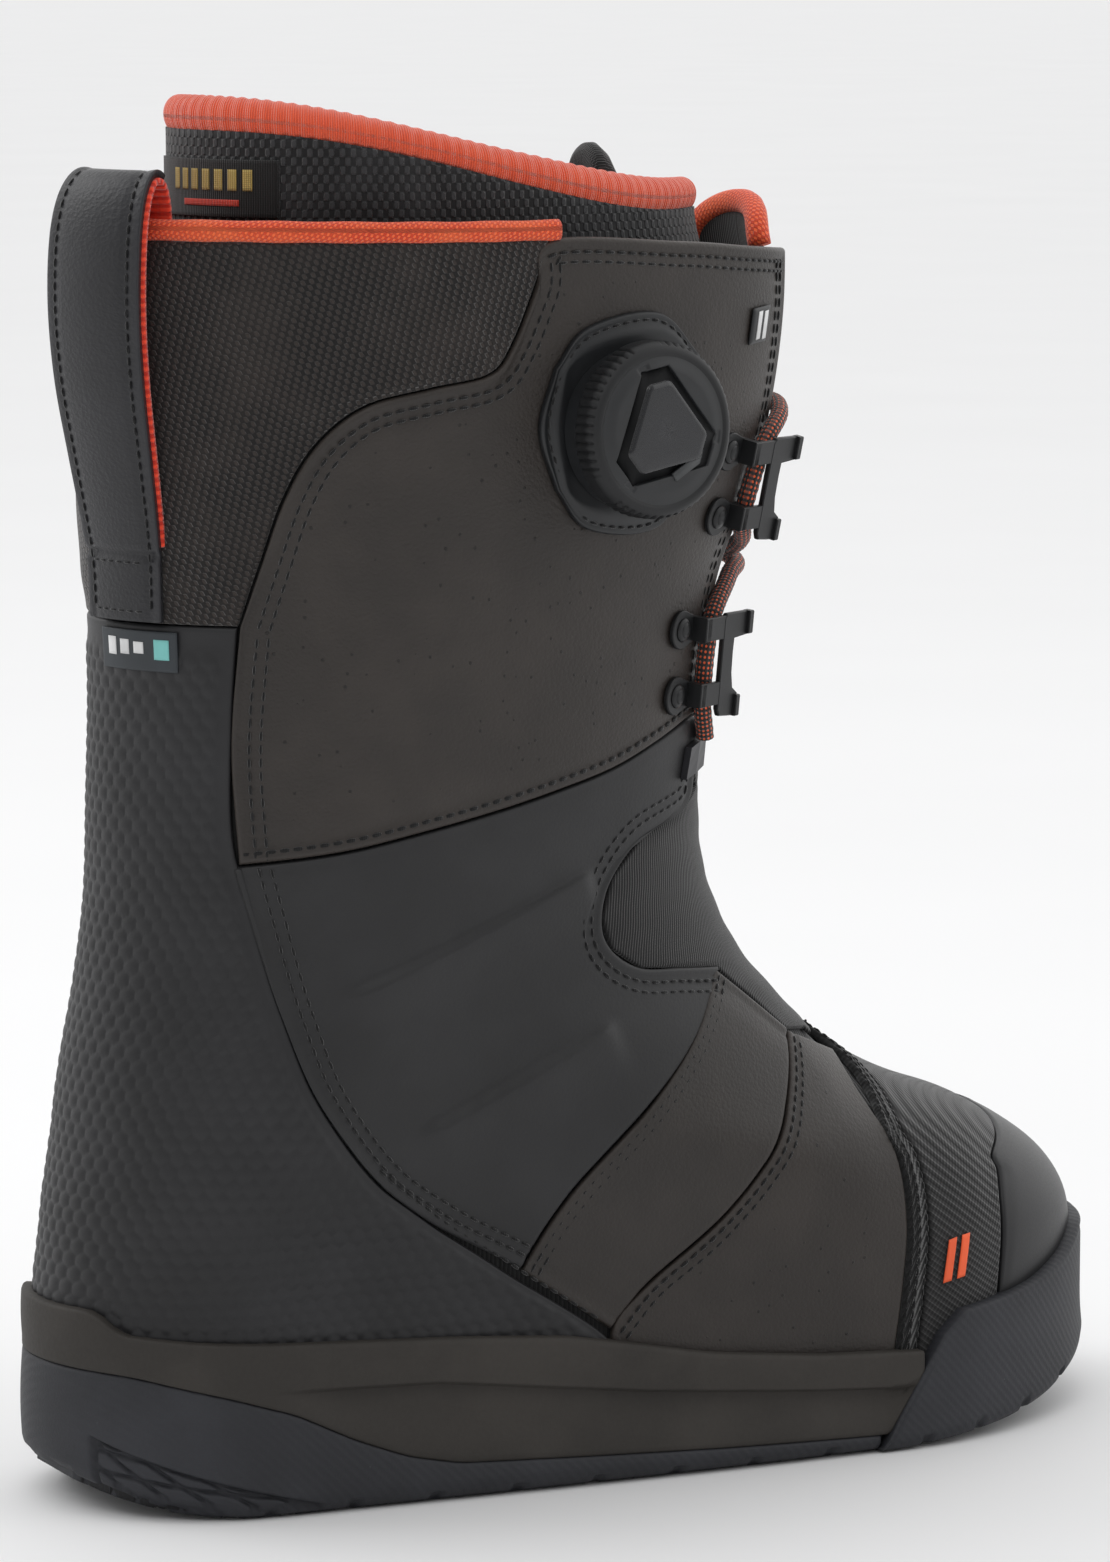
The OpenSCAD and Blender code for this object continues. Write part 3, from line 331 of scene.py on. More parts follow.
def stitches(name, lines, material, pitch=3.3, length=2.5, radius=0.42, body="boot"):
    """Rows of sewn stitches. Each line is (points, normals), both in millimetres along the seam."""
    verts, faces = [], []
    prof = [(-0.5, 0.15), (-0.4, 0.7), (-0.15, 1.0), (0.15, 1.0), (0.4, 0.7), (0.5, 0.15)]
    ang = np.linspace(0, 2 * np.pi, STITCH_RING, endpoint=False)
    for pts, nrm in lines:
        s = np.concatenate([[0], np.cumsum(np.linalg.norm(np.diff(pts, axis=0), axis=1))])
        for c in np.arange(pitch * 0.6, s[-1] - pitch * 0.5, pitch):
            here = np.array([np.interp(c, s, pts[:, k]) for k in range(3)])
            ahead = np.array([np.interp(c + 0.8, s, pts[:, k]) for k in range(3)])
            up = unit(np.array([np.interp(c, s, nrm[:, k]) for k in range(3)]))
            t = unit(ahead - here)
            side = unit(np.cross(t, up))
            start = len(verts)
            for along, r in prof:
                centre = here + t * along * length - up * 0.25 * abs(along)
                for q in ang:
                    verts.append(centre + radius * r * (np.cos(q) * side + 0.8 * np.sin(q) * up))
            for i in range(len(prof) - 1):
                for k in range(STITCH_RING):
                    p0, p1 = start + i * STITCH_RING + k, start + i * STITCH_RING + (k + 1) % STITCH_RING
                    faces.append((p0, p1, p1 + STITCH_RING, p0 + STITCH_RING))
            faces.append(tuple(start + k for k in reversed(range(STITCH_RING))))
            faces.append(tuple(start + (len(prof) - 1) * STITCH_RING + k for k in range(STITCH_RING)))
    return make_mesh(name, verts, faces, material, body=body)


def seam(uv_line, off, side=1):
    """A seam's points and normals from its angles and levels."""
    a, v = side * uv_line[:, 0], uv_line[:, 1]
    n = skin_normal(a, v)
    return skin(a, v) + off * n, n


def inset(line, dist):
    """Moves a line seen from the side to its left by dist."""
    t = unit(np.gradient(line, axis=0))
    return line + dist * np.stack([-t[:, 1], t[:, 0]], -1)


def side_seam(points, dist, off=PANEL_OUT + 0.12, side=1, n=260):
    return seam(side_uv(inset(smooth_line(points, n), dist)), off, side)


def tube_mesh(name, path, r, material, sides=16, body="boot", closed_ends=True, ripple=None):
    """Round tube along a path. ripple(s, angle) scales its radius."""
    path = np.asarray(path, float)
    t = unit(np.gradient(path, axis=0))
    u = np.zeros_like(path)
    first = np.array([0, 0, 1.0]) if abs(t[0][2]) < 0.9 else np.array([1.0, 0, 0])
    u[0] = unit(np.cross(t[0], first))
    for i in range(1, len(path)):
        u[i] = unit(u[i - 1] - np.dot(u[i - 1], t[i]) * t[i])
    w = np.cross(t, u)
    s = np.concatenate([[0], np.cumsum(np.linalg.norm(np.diff(path, axis=0), axis=1))])
    q = np.linspace(0, 2 * np.pi, sides, endpoint=False)
    S, Q = np.meshgrid(s, q, indexing="ij")
    rad = r * (ripple(S, Q) if ripple else np.ones_like(S))
    spoke = np.cos(Q)[..., None] * u[:, None] + np.sin(Q)[..., None] * w[:, None]
    ring = path[:, None] + rad[..., None] * spoke
    n = ring.shape[0] * sides
    faces = [tuple(f) for f in grid_faces(len(path), sides, True)]
    verts = ring.reshape(-1, 3)
    attrs = {"mm": np.stack([S, r * Q, np.zeros_like(S)], -1).reshape(-1, 3)}
    if closed_ends:
        faces.append(tuple(range(sides)))
        faces.append(tuple(reversed(range(n - sides, n))))
    return make_mesh(name, verts, faces, material, attrs, body)


# ---------------------------------------------------------------- materials
class Nodes:
    """Short form for building one node material."""

    def __init__(self, name, base, rough=0.6, metallic=0.0, sheen=0.0, specular=0.5, coat=0.0):
        self.mat = bpy.data.materials.new(name)
        self.mat.use_nodes = True
        self.tree = self.mat.node_tree
        self.bsdf = self.tree.nodes["Principled BSDF"]
        self.bsdf.inputs["Base Color"].default_value = (*base, 1)
        self.bsdf.inputs["Roughness"].default_value = rough
        self.bsdf.inputs["Metallic"].default_value = metallic
        self.bsdf.inputs["Sheen Weight"].default_value = sheen
        self.bsdf.inputs["Specular IOR Level"].default_value = specular
        self.bsdf.inputs["Coat Weight"].default_value = coat
        self.mat.diffuse_color = (*base, 1)
        self.height = None

    def add(self, kind, **values):
        node = self.tree.nodes.new(kind)
        for key, value in values.items():
            setattr(node, key, value)
        return node

    def link(self, a, b):
        self.tree.links.new(a, b)

    def coords(self, attribute="mm"):
        if attribute:
            return self.add("ShaderNodeAttribute", attribute_name=attribute).outputs["Vector"]
        scale = self.add("ShaderNodeVectorMath", operation="SCALE")
        self.link(self.add("ShaderNodeTexCoord").outputs["Object"], scale.inputs[0])
        scale.inputs["Scale"].default_value = 1000
        return scale.outputs[0]

    def value(self, attribute):
        return self.add("ShaderNodeAttribute", attribute_name=attribute).outputs["Fac"]

    def math(self, op, a, b=0.0, clamp=False):
        node = self.add("ShaderNodeMath", operation=op, use_clamp=clamp)
        for k, x in enumerate((a, b)):
            if hasattr(x, "links"):
                self.link(x, node.inputs[k])
            else:
                node.inputs[k].default_value = x
        return node.outputs[0]

    def noise(self, coords, scale, detail=3.0, rough=0.55):
        node = self.add("ShaderNodeTexNoise")
        self.link(coords, node.inputs["Vector"])
        node.inputs["Scale"].default_value = scale
        node.inputs["Detail"].default_value = detail
        node.inputs["Roughness"].default_value = rough
        return node.outputs["Fac"]

    def voronoi(self, coords, scale, randomness=1.0, feature="F1"):
        node = self.add("ShaderNodeTexVoronoi", feature=feature)
        self.link(coords, node.inputs["Vector"])
        node.inputs["Scale"].default_value = scale
        node.inputs["Randomness"].default_value = randomness
        return node.outputs["Distance"]

    def split(self, coords):
        node = self.add("ShaderNodeSeparateXYZ")
        self.link(coords, node.inputs[0])
        return node.outputs

    def stretch(self, coords, x, y, z=1.0, turn=0.0):
        node = self.add("ShaderNodeMapping")
        self.link(coords, node.inputs["Vector"])
        node.inputs["Scale"].default_value = (x, y, z)
        node.inputs["Rotation"].default_value = (0, 0, turn)
        return node.outputs[0]

    def band(self, x, lo, hi):
        node = self.add("ShaderNodeMapRange", interpolation_type="SMOOTHSTEP")
        self.link(x, node.inputs["Value"])
        node.inputs["From Min"].default_value = lo
        node.inputs["From Max"].default_value = hi
        return node.outputs[0]

    def mix(self, factor, a, b):
        node = self.add("ShaderNodeMix", data_type="RGBA")
        self.link(factor, node.inputs[0])
        for socket, x in ((node.inputs[6], a), (node.inputs[7], b)):
            if hasattr(x, "links"):
                self.link(x, socket)
            else:
                socket.default_value = (*x, 1)
        return node.outputs[2]

    def colour(self, socket):
        self.link(socket, self.bsdf.inputs["Base Color"])

    def rough(self, factor, lo, hi):
        node = self.add("ShaderNodeMapRange")
        self.link(factor, node.inputs["Value"])
        node.inputs["To Min"].default_value = lo
        node.inputs["To Max"].default_value = hi
        self.link(node.outputs[0], self.bsdf.inputs["Roughness"])

    def bump(self, height, mm, strength=1.0):
        node = self.add("ShaderNodeBump")
        node.inputs["Distance"].default_value = mm * MM
        node.inputs["Strength"].default_value = strength
        self.link(height, node.inputs["Height"])
        if self.height is not None:
            self.link(self.height, node.inputs["Normal"])
        self.height = node.outputs[0]
        self.link(self.height, self.bsdf.inputs["Normal"])


def scaled(colour, k):
    return tuple(min(1, x * k) for x in colour)


def leather(name, base, perforated=False, rough=0.5, grain=0.12):
    m = Nodes(name, base, rough, sheen=0.02, specular=0.42)
    c = m.coords()
    cells = m.voronoi(c, 1.1)
    fine = m.noise(c, 2.2, 4)
    broad = m.noise(c, 0.035, 3)
    shade = m.mix(m.band(broad, 0.35, 0.7), scaled(base, 0.86), scaled(base, 1.18))
    # Colour turns lighter within 1.6 mm of each panel's edge, on its rounded rim.
    near_edge_lighter = m.math("SUBTRACT", 1.0, m.band(m.value("edge"), 0.0, 1.6))
    shade = m.mix(m.math("MULTIPLY", near_edge_lighter, 0.35), shade, tuple(min(1, x * 2.2) for x in base))
    m.bump(m.math("ADD", cells, fine), grain, 0.8)
    if perforated:
        dots = m.voronoi(c, 0.3, 0.72)
        hole = m.math("SUBTRACT", 1.0, m.band(dots, 0.09, 0.15))
        hole = m.math("MULTIPLY", hole, m.band(m.value("edge"), 8.0, 11.0))
        shade = m.mix(m.math("MULTIPLY", hole, 0.75), shade, tuple(x * 0.22 for x in base))
        m.bump(m.math("SUBTRACT", 1.0, hole), 0.3, 0.8)
    m.colour(shade)
    m.rough(fine, rough - 0.08, rough + 0.14)
    return m.mat


def rubber(name, base, rough=0.6, grain=0.1, scale=1.5, hatch=False, attribute=None, wear=0.0):
    m = Nodes(name, base, rough, specular=0.4)
    c = m.coords(attribute)
    broad = m.noise(c, 0.03, 4)
    shade = m.mix(m.band(broad, 0.35, 0.7), scaled(base, 0.85), scaled(base, 1.2))
    fine = m.noise(c, scale, 4)
    if wear:
        flecks = m.band(m.noise(c, 0.35, 6, 0.75), 0.70, 0.76)
        shade = m.mix(m.math("MULTIPLY", flecks, wear), shade, (0.42, 0.42, 0.42))
    m.colour(shade)
    m.rough(fine, rough - 0.08, rough + 0.12)
    m.bump(fine, grain, 0.6)
    if hatch:
        a = m.add("ShaderNodeTexWave", wave_type="BANDS", bands_direction="DIAGONAL")
        a.inputs["Scale"].default_value = 0.22
        m.link(m.stretch(c, 1, 0.35), a.inputs["Vector"])
        m.bump(a.outputs["Fac"], 0.12, 0.6)
    return m.mat


def woven(name, base, dark, pitch=2.0, depth=0.5, sheen=0.25, rough=0.75, attribute="mm", slant=0.5,
          lift=1.0):
    """Open knit: rows of small holes, each row half a step along from the last."""
    m = Nodes(name, base, rough, sheen=sheen, specular=0.3)
    xyz = m.split(m.coords(attribute))
    k = 2 * math.pi / pitch
    x = m.math("MULTIPLY", m.math("ADD", xyz[0], m.math("MULTIPLY", xyz[1], slant)), k)
    y = m.math("MULTIPLY", m.math("SUBTRACT", xyz[1], m.math("MULTIPLY", xyz[0], slant * 0.4)), k * 0.8)
    wave = m.math("MULTIPLY", m.math("SINE", x), m.math("SINE", y))
    open_ = m.band(wave, -0.15, 0.45)
    broad = m.noise(m.coords(attribute), 0.05, 3)
    shade = m.mix(open_, dark, base)
    shade = m.mix(m.math("MULTIPLY", m.band(broad, 0.4, 0.7), 0.3), shade, scaled(base, 1.5 * lift))
    m.colour(shade)
    m.bump(open_, depth, 0.9)
    m.bump(m.noise(m.coords(attribute), 3.0, 2), 0.1, 0.6)
    return m.mat


def ribbed(name, base, dark, pitch=1.6, depth=0.35, turn=0.0, rough=0.8, sheen=0.3, attribute="mm"):
    """Twill or rib cloth: parallel raised threads."""
    m = Nodes(name, base, rough, sheen=sheen, specular=0.25)
    xyz = m.split(m.stretch(m.coords(attribute), 1, 1, 1, turn))
    wave = m.math("SINE", m.math("MULTIPLY", xyz[0], 2 * math.pi / pitch))
    thread = m.math("SINE", m.math("MULTIPLY", xyz[1], 2 * math.pi / (pitch * 0.7)))
    h = m.math("ADD", m.band(wave, -0.8, 0.8), m.math("MULTIPLY", thread, 0.15))
    broad = m.noise(m.coords(attribute), 0.08, 3)
    shade = m.mix(m.band(wave, -0.9, 0.3), dark, base)
    shade = m.mix(m.math("MULTIPLY", m.band(broad, 0.35, 0.75), 0.25), shade, scaled(base, 1.35))
    m.colour(shade)
    m.bump(h, depth, 0.9)
    m.bump(m.noise(m.coords(attribute), 4.0, 2), 0.06, 0.5)
    return m.mat


def plastic(name, base, rough=0.4, grain=0.04, coat=0.0, attribute=None):
    m = Nodes(name, base, rough, specular=0.5, coat=coat)
    c = m.coords(attribute)
    fine = m.noise(c, 3.0, 3)
    broad = m.noise(c, 0.06, 3)
    m.colour(m.mix(m.band(broad, 0.3, 0.7), scaled(base, 0.85), scaled(base, 1.25)))
    m.rough(fine, rough - 0.06, rough + 0.1)
    m.bump(fine, grain, 0.6)
    return m.mat


def metal(name, base, rough=0.35, metallic=1.0):
    m = Nodes(name, base, rough, metallic=metallic)
    c = m.coords(None)
    fine = m.noise(m.stretch(c, 1, 1, 8), 1.5, 3)
    m.rough(fine, rough - 0.08, rough + 0.12)
    m.bump(fine, 0.02, 0.5)
    return m.mat


def lace_material():
    """Black braid with orange flecks."""
    m = Nodes("lace_braid", (0.02, 0.014, 0.013), 0.75, sheen=0.3)
    xyz = m.split(m.coords())
    s = m.math("MULTIPLY", xyz[0], 2 * math.pi / 2.6)
    q = m.math("MULTIPLY", xyz[1], 2 * math.pi / 2.4)
    weave = m.math("MULTIPLY", m.math("SINE", m.math("ADD", s, q)), m.math("SINE", m.math("SUBTRACT", s, q)))
    fleck = m.band(weave, 0.35, 0.55)
    m.colour(m.mix(fleck, (0.02, 0.014, 0.013), (0.85, 0.13, 0.035)))
    m.bump(m.band(weave, -0.4, 0.8), 0.45, 0.9)
    return m.mat


DARK = (0.006, 0.006, 0.0065)
CUFF = leather("cuff_leather", (0.026, 0.021, 0.018), perforated=True, rough=0.46)
PLAIN = leather("plain_leather", (0.023, 0.019, 0.0165), rough=0.44)
QUARTER = leather("quarter_skin", (0.015, 0.015, 0.016), rough=0.5, grain=0.05)
LOOP = leather("loop_leather", (0.012, 0.012, 0.0145), rough=0.4)
SCALES = rubber("scale_rubber", (0.0155, 0.0155, 0.017), 0.5, 0.05, 2.0, attribute="mm")
TOE_RUBBER = rubber("toe_rubber", (0.012, 0.012, 0.0135), 0.42, 0.03, 2.0)
MIDSOLE = rubber("midsole_foam", (0.034, 0.030, 0.026), 0.68, 0.14, 0.9)
OUTSOLE = rubber("outsole_rubber", (0.024, 0.025, 0.030), 0.60, 0.16, 1.6, hatch=True, wear=0.25)
BUMPER = rubber("bumper_rubber", (0.024, 0.025, 0.030), 0.60, 0.18, 1.6, hatch=True, wear=0.5)
TREAD = rubber("tread_rubber", (0.006, 0.006, 0.007), 0.55, 0.1)
MESH = woven("collar_mesh_fabric", (0.03, 0.0235, 0.0205), (0.004, 0.003, 0.003), 2.3, 0.5, slant=0.5)
KNIT = woven("liner_knit_fabric", (0.03, 0.03, 0.032), (0.004, 0.004, 0.0045), 3.4, 0.9, slant=0.0)
STRETCH = ribbed("stretch_fabric", (0.008, 0.0075, 0.008), (0.004, 0.004, 0.004), 0.9, 0.12)
TWILL = ribbed("toe_twill", (0.02, 0.0195, 0.02), (0.006, 0.006, 0.006), 1.5, 0.3, turn=0.9, attribute="mm")
TAPE = ribbed("toe_tape_twill", (0.011, 0.011, 0.0115), (0.0045, 0.0045, 0.0045), 1.1, 0.2, turn=0.4)
FLEECE = ribbed("fleece", (0.92, 0.115, 0.035), (0.72, 0.06, 0.02), 0.8, 0.25, rough=0.95, sheen=0.6)
PIPING = woven("piping_knit", (0.95, 0.15, 0.045), (0.62, 0.05, 0.015), 1.5, 0.3, slant=0.5)
WEBBING = ribbed("orange_webbing", (0.90, 0.07, 0.03), (0.5, 0.02, 0.01), 2.2, 0.5)
BLACK_BIND = woven("black_binding", (0.015, 0.015, 0.0155), DARK, 1.4, 0.3)
THREAD = ribbed("black_thread", (0.006, 0.006, 0.0065), (0.0025, 0.0025, 0.0025), 0.5, 0.05, attribute=None)
LINING = ribbed("lining_cloth", (0.015, 0.015, 0.015), DARK, 1.2, 0.15, attribute=None)
DIAL = plastic("dial_plastic", (0.011, 0.012, 0.0135), 0.42)
DIAL_GRIP = rubber("dial_grip_rubber", (0.009, 0.0095, 0.0105), 0.5, 0.04, 2.5)
DIAL_FACE = plastic("dial_face", (0.005, 0.0055, 0.0075), 0.25, 0.01, 0.3)
HOOK = metal("hook_black", (0.014, 0.0145, 0.0155), 0.42, 0.4)
LACE = lace_material()
GREY = plastic("pale_mark", (0.62, 0.62, 0.62), 0.5)
ORANGE_MARK = rubber("orange_mark", (0.90, 0.12, 0.035), 0.5, 0.03)
GOLD = ribbed("gold_thread", (0.50, 0.36, 0.10), (0.25, 0.17, 0.04), 0.7, 0.2)
RED = ribbed("red_thread", (0.70, 0.05, 0.02), (0.35, 0.02, 0.01), 0.6, 0.2)
LABEL = ribbed("label_cloth", (0.008, 0.0075, 0.0075), (0.004, 0.004, 0.004), 0.8, 0.1)
SLIVER = plastic("dial_sliver", (0.045, 0.048, 0.05), 0.45)
TAB = plastic("tab_cloth", (0.0175, 0.0225, 0.0275), 0.5)
TEAL = plastic("teal_mark", (0.15, 0.42, 0.40), 0.5)

# ---------------------------------------------------------------- panel edges, seen from the side as (x, z)
HEEL_TOP = (-113, 222)
HEEL_EDGE = np.array([HEEL_TOP, (-114, 197), (-114, 170), (-110, 150), (-105, 127), (-98, 105), (-84, 85),
                      (-68, 72), (-45, 56), (-20, 39), (-14, 30)], float)
COLLAR_EDGE = np.array([(-39, 315.5), (-43, 304), (-49, 290), (-55, 283), (-70, 280), (-86, 276), (-97, 267),
                        (-104, 254), (-109, 237), HEEL_TOP], float)
CUFF_LOW = np.array([(-113, 163), (-90, 166), (-70, 170), (-50, 174), (-32, 178), (-15, 182), (0, 187),
                     (12, 191)], float)
SEAM_REAR = np.array([(-42, 57), (-29, 76), (-6, 97), (9, 112), (20, 126)], float)
SEAM_FRONT = np.array([(-17, 39), (-6, 51), (13, 65), (29, 82), (38, 95), (44, 107)], float)
TOE_SEAM = np.array([(64, 22), (67, 43), (68, 60), (67, 75), (64, 88)], float)
CAP_EDGE = np.array([(97, 30), (99, 48), (101, 62), (106, 74)], float)
GUSSET_EDGE = np.array([(22, 172), (14, 168.5), (-4, 163), (-14, 154), (-17.5, 144), (-15, 136), (-6, 130),
                        (8, 128), (22, 126), (33, 117), (44, 107.5)], float)
TAPE_W, TOE_SEAM_TOP, CAP_TOP = 6, 102.5, 78
CUFF_BASE, CUFF_TOP_FRONT = 192, COLLAR_Z - 6
G = SEAM_GAP
VAMP_CORNER = throat(98, G)
SIDES = ((1, "lateral"), (-1, "medial"))


def low_pt(x):
    return [x, float(floor_z(x)) + 4]


def heel_uv(edge, step, n=200):
    """Grid over the heel between an edge and its mirror image, as rows from the top down."""
    line = side_uv(smooth_line(edge, n))
    rows = at(line, spread(line_length(smooth_line(edge)), step))
    reach = float(arc(rows[:, 0], rows[:, 1]).max())
    w = spread(2 * reach, step)
    a = lerp(-rows[:, :1], rows[:, :1], w[None, :])
    return np.stack([a, np.broadcast_to(rows[:, 1:], a.shape)], -1)


def across(edge_uv, step, width):
    w = spread(width, step)
    a = lerp(edge_uv[:, :1], 360 - edge_uv[:, :1], w[None, :])
    return np.stack([a, np.broadcast_to(edge_uv[:, 1:], a.shape)], -1)


def over_toe(edge, top_v, n=240):
    half = np.concatenate([side_uv(smooth_line(edge, 60)), [[180, top_v]]])
    half = smooth_line(half[::6].tolist() + [half[-1].tolist()], n // 2)
    full = np.concatenate([half, np.stack([360 - half[-2::-1, 0], half[-2::-1, 1]], -1)])
    return smooth_line(full[::3], n)


def between(line_a, line_b, step, length):
    """Grid between two evenly spaced lines of angles and levels."""
    u = spread(length, step)
    gap = shell(*line_a[len(line_a) // 4], 0.0) - shell(*line_b[len(line_b) // 4], 0.0)
    w = spread(float(np.linalg.norm(gap)), step)
    return lerp(at(line_a, u)[:, None], at(line_b, u)[:, None], w[None, :, None])


def groove(d, where, width, depth):
    return -depth * np.exp(-((d - where) / width) ** 2)


def piping_edge(d, width=2.6, rise_mm=0.35, dip=0.45):
    """Folded edge: a raised roll, then a dip where the first stitch row pulls the panel down."""
    return rise_mm * np.exp(-((d - width * 0.5) / (width * 0.5)) ** 2) + groove(d, width + 1.2, 0.7, dip) \
        + groove(d, width + 3.6, 0.7, dip * 0.8)


# ---------------------------------------------------------------- heel, collar and cuff
def hex_relief(ctx):
    """Soft raised scales, packed like a honeycomb and stretched sideways."""
    px, py = 4.6, 3.5
    x, y = ctx["mm"][..., 0] / px, ctx["mm"][..., 1] / py
    best = np.full(x.shape, 9.0)
    for shift in (0.0, 0.5):
        cx = np.round(x - shift) + shift
        cy = np.round((y / 2 - shift)) + shift
        best = np.minimum(best, np.hypot(x - cx, (y / 2 - cy) * 1.5))
    bump = 0.85 * np.clip(1 - (best / 0.60) ** 2, 0, 1) ** 0.7
    return bump * smooth((ctx["d"] - 2) / 3) * smooth((218 - ctx["v"]) / 6)


def build_heel():
    uv = heel_uv(HEEL_EDGE - [G / 2, 0], 0.8, 260)
    panel("heel_scale_panel", uv, SCALES, "heel_backstay", relief=hex_relief)

    def puff(ctx):
        quilt = np.sin(ctx["mm"][..., 0] * np.pi / 13) * np.sin(ctx["mm"][..., 1] * np.pi / 17)
        return 0.9 * smooth(ctx["d"] / 12) + 0.35 * quilt * smooth(ctx["d"] / 8)
    panel("collar_mesh_panel", heel_uv(COLLAR_EDGE + [-G / 2, G / 2], 1.6), MESH, "collar_mesh", relief=puff)
    reach = float(side_uv(np.array(COLLAR_EDGE[0]))[0])
    a = np.linspace(-reach - 1.5, reach + 1.5, 220)
    sag = 0.4 * np.sin(np.radians(a * 3))
    path = shell(a, COLLAR_Z + 2.2 + sag, 0.9 + 0 * a)
    piece = tube_mesh("collar_piping_cord", path, 2.2, PIPING, 14,
                      ripple=lambda s, q: 1 + 0.04 * np.sin(s * 0.35) + 0.22 * np.abs(np.sin(q)))
    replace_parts(piece, "collar_piping")


def cuff_edges():
    front = [throat(v, G) for v in np.linspace(CUFF_BASE, CUFF_TOP_FRONT, 7)]
    low = np.concatenate([CUFF_LOW + [0, G / 2], [throat(CUFF_BASE, G)]])
    high = np.concatenate([(COLLAR_EDGE + [G / 2, 0])[::-1],
                           [(0, 314), (22, 312), throat(CUFF_TOP_FRONT, G)]])
    left = np.array([CUFF_LOW[0] + [0, G / 2], np.array([-114.4, 192]), np.array(HEEL_TOP) + [G / 2, 0]])
    return low, high, left, front


def cuff_relief(ctx):
    left, right, low, high = ctx["dist"]
    d = np.minimum(np.minimum(left, right), np.minimum(low, high))
    soft = 0.25 * np.sin(ctx["mm"][..., 0] * 0.06) * np.sin(ctx["mm"][..., 1] * 0.045) * smooth(d / 20)
    return piping_edge(d, 2.4, 0.4, 0.4) + soft


def build_cuffs():
    low, high, left, front = cuff_edges()
    uv = side_uv(coons(low, high, left, front, 1.7))
    lines = []
    for side, word in SIDES:
        panel("cuff_panel_" + word, uv, CUFF, "cuff_" + word, relief=cuff_relief, side=side)
        for dist in (3.6, 6.0):
            lines.append(side_seam(high, -dist, side=side))
            lines.append(side_seam(front, dist, side=side, n=120))
            lines.append(side_seam(left, -dist, side=side, n=80))
        lines.append(side_seam(low, 2.6, side=side))
    stitches("cuff_stitching", lines, THREAD)


# ---------------------------------------------------------------- quarter, straps and vamp
def quarter_edges():
    base = throat(CUFF_BASE - 1, G)
    low = SEAM_REAR + [-G / 2, G / 2]
    high = np.concatenate([[(-112.4, 162.4)], CUFF_LOW - [0, G / 2], [base]])
    left = np.concatenate([[SEAM_REAR[0] + [-G / 2, G / 2]],
                           HEEL_EDGE[7:2:-1] + [G / 2, 0], [(-112.4, 162.4)]])
    right = np.concatenate([[SEAM_REAR[4] + [-G / 2, G / 2]],
                            GUSSET_EDGE[8:0:-1] - [G, 0], [throat(176, G)], [base]])
    return low, high, left, right


def ridge(ctx, p0, p1, height, width):
    """Moulded ridge between two points seen from the side: sharp above, fading below."""
    x, z = ctx["p"][..., 0], ctx["p"][..., 2]
    p0, p1 = np.array(p0, float), np.array(p1, float)
    t = unit(p1 - p0)
    along = (x - p0[0]) * t[0] + (z - p0[1]) * t[1]
    away = -(x - p0[0]) * t[1] + (z - p0[1]) * t[0]
    length = np.linalg.norm(p1 - p0)
    ends = smooth(along / 10) * smooth((length - along) / 6)
    above = np.exp(-(np.maximum(away, 0) / 0.9) ** 2)
    below = np.exp(-(np.maximum(-away, 0) / width) ** 2)
    return height * ends * above * below


def quarter_relief(ctx):
    left, right, low, high = ctx["dist"]
    rolled = piping_edge(np.minimum(left, right), 2.4, 0.35, 0.4)
    moulded = ridge(ctx, (-92, 129), (-20, 157), 1.9, 8) + ridge(ctx, (-74, 93), (-15, 118), 2.1, 9)
    return rolled + 0.3 * groove(np.minimum(low, high), 1.5, 1.0, 0.5) + moulded


def strap_relief(ctx):
    across_d = np.minimum(*ctx["dist"][2:])
    return piping_edge(across_d, 2.2, 0.25, 0.35) + 0.35 * smooth(across_d / 10)


def build_side_panels():
    low, high, left, right = quarter_edges()
    quarter = side_uv(coons(low, high, left, right, 1.5))
    s_low = [SEAM_REAR[0] + [G / 2, -G / 4], SEAM_FRONT[0] + [-G / 2, G]]
    s_high = [SEAM_REAR[4] + [G / 2, -G], SEAM_FRONT[5] + [-G / 2, 0]]
    strap = side_uv(coons(s_low, s_high, SEAM_REAR + [G / 2, -G / 2], SEAM_FRONT + [-G / 2, G / 2], 1.6))
    v_left = np.concatenate([[low_pt(-13)], SEAM_FRONT + [G / 2, -G / 2]])
    v_right = np.concatenate([TOE_SEAM - [G / 2, 0], [VAMP_CORNER]])
    v_low = [low_pt(x) for x in np.linspace(-13, 58, 5)] + [v_right[0]]
    vamp = side_uv(coons(v_low, [v_left[-1], VAMP_CORNER], v_left, v_right, 1.7))
    lines = []
    for side, word in SIDES:
        panel("quarter_panel_" + word, quarter, QUARTER, "quarter_" + word, relief=quarter_relief, side=side)
        panel("strap_panel_" + word, strap, PLAIN, "strap_" + word, relief=strap_relief, side=side)
        panel("vamp_panel_" + word, vamp, CUFF, "vamp_" + word, side=side,
              relief=lambda ctx: 0.5 * smooth(ctx["d"] / 14) + groove(ctx["dist"][0], 3.0, 0.8, 0.4))
        for dist in (3.4, 6.0):
            lines.append(side_seam(left, -dist, side=side))
            lines.append(side_seam(right[1:-1], dist, side=side, n=200))
        for dist in (2.4, 4.6):
            lines.append(side_seam(SEAM_REAR, -dist, side=side, n=160))
            lines.append(side_seam(SEAM_FRONT, -dist, side=side, n=160))
        lines.append(side_seam(HEEL_EDGE[6:10], 2.4, side=side, n=120))
        lines.append(side_seam(CUFF_LOW, 2.6, side=side, n=200))
    stitches("side_stitching", lines, THREAD)


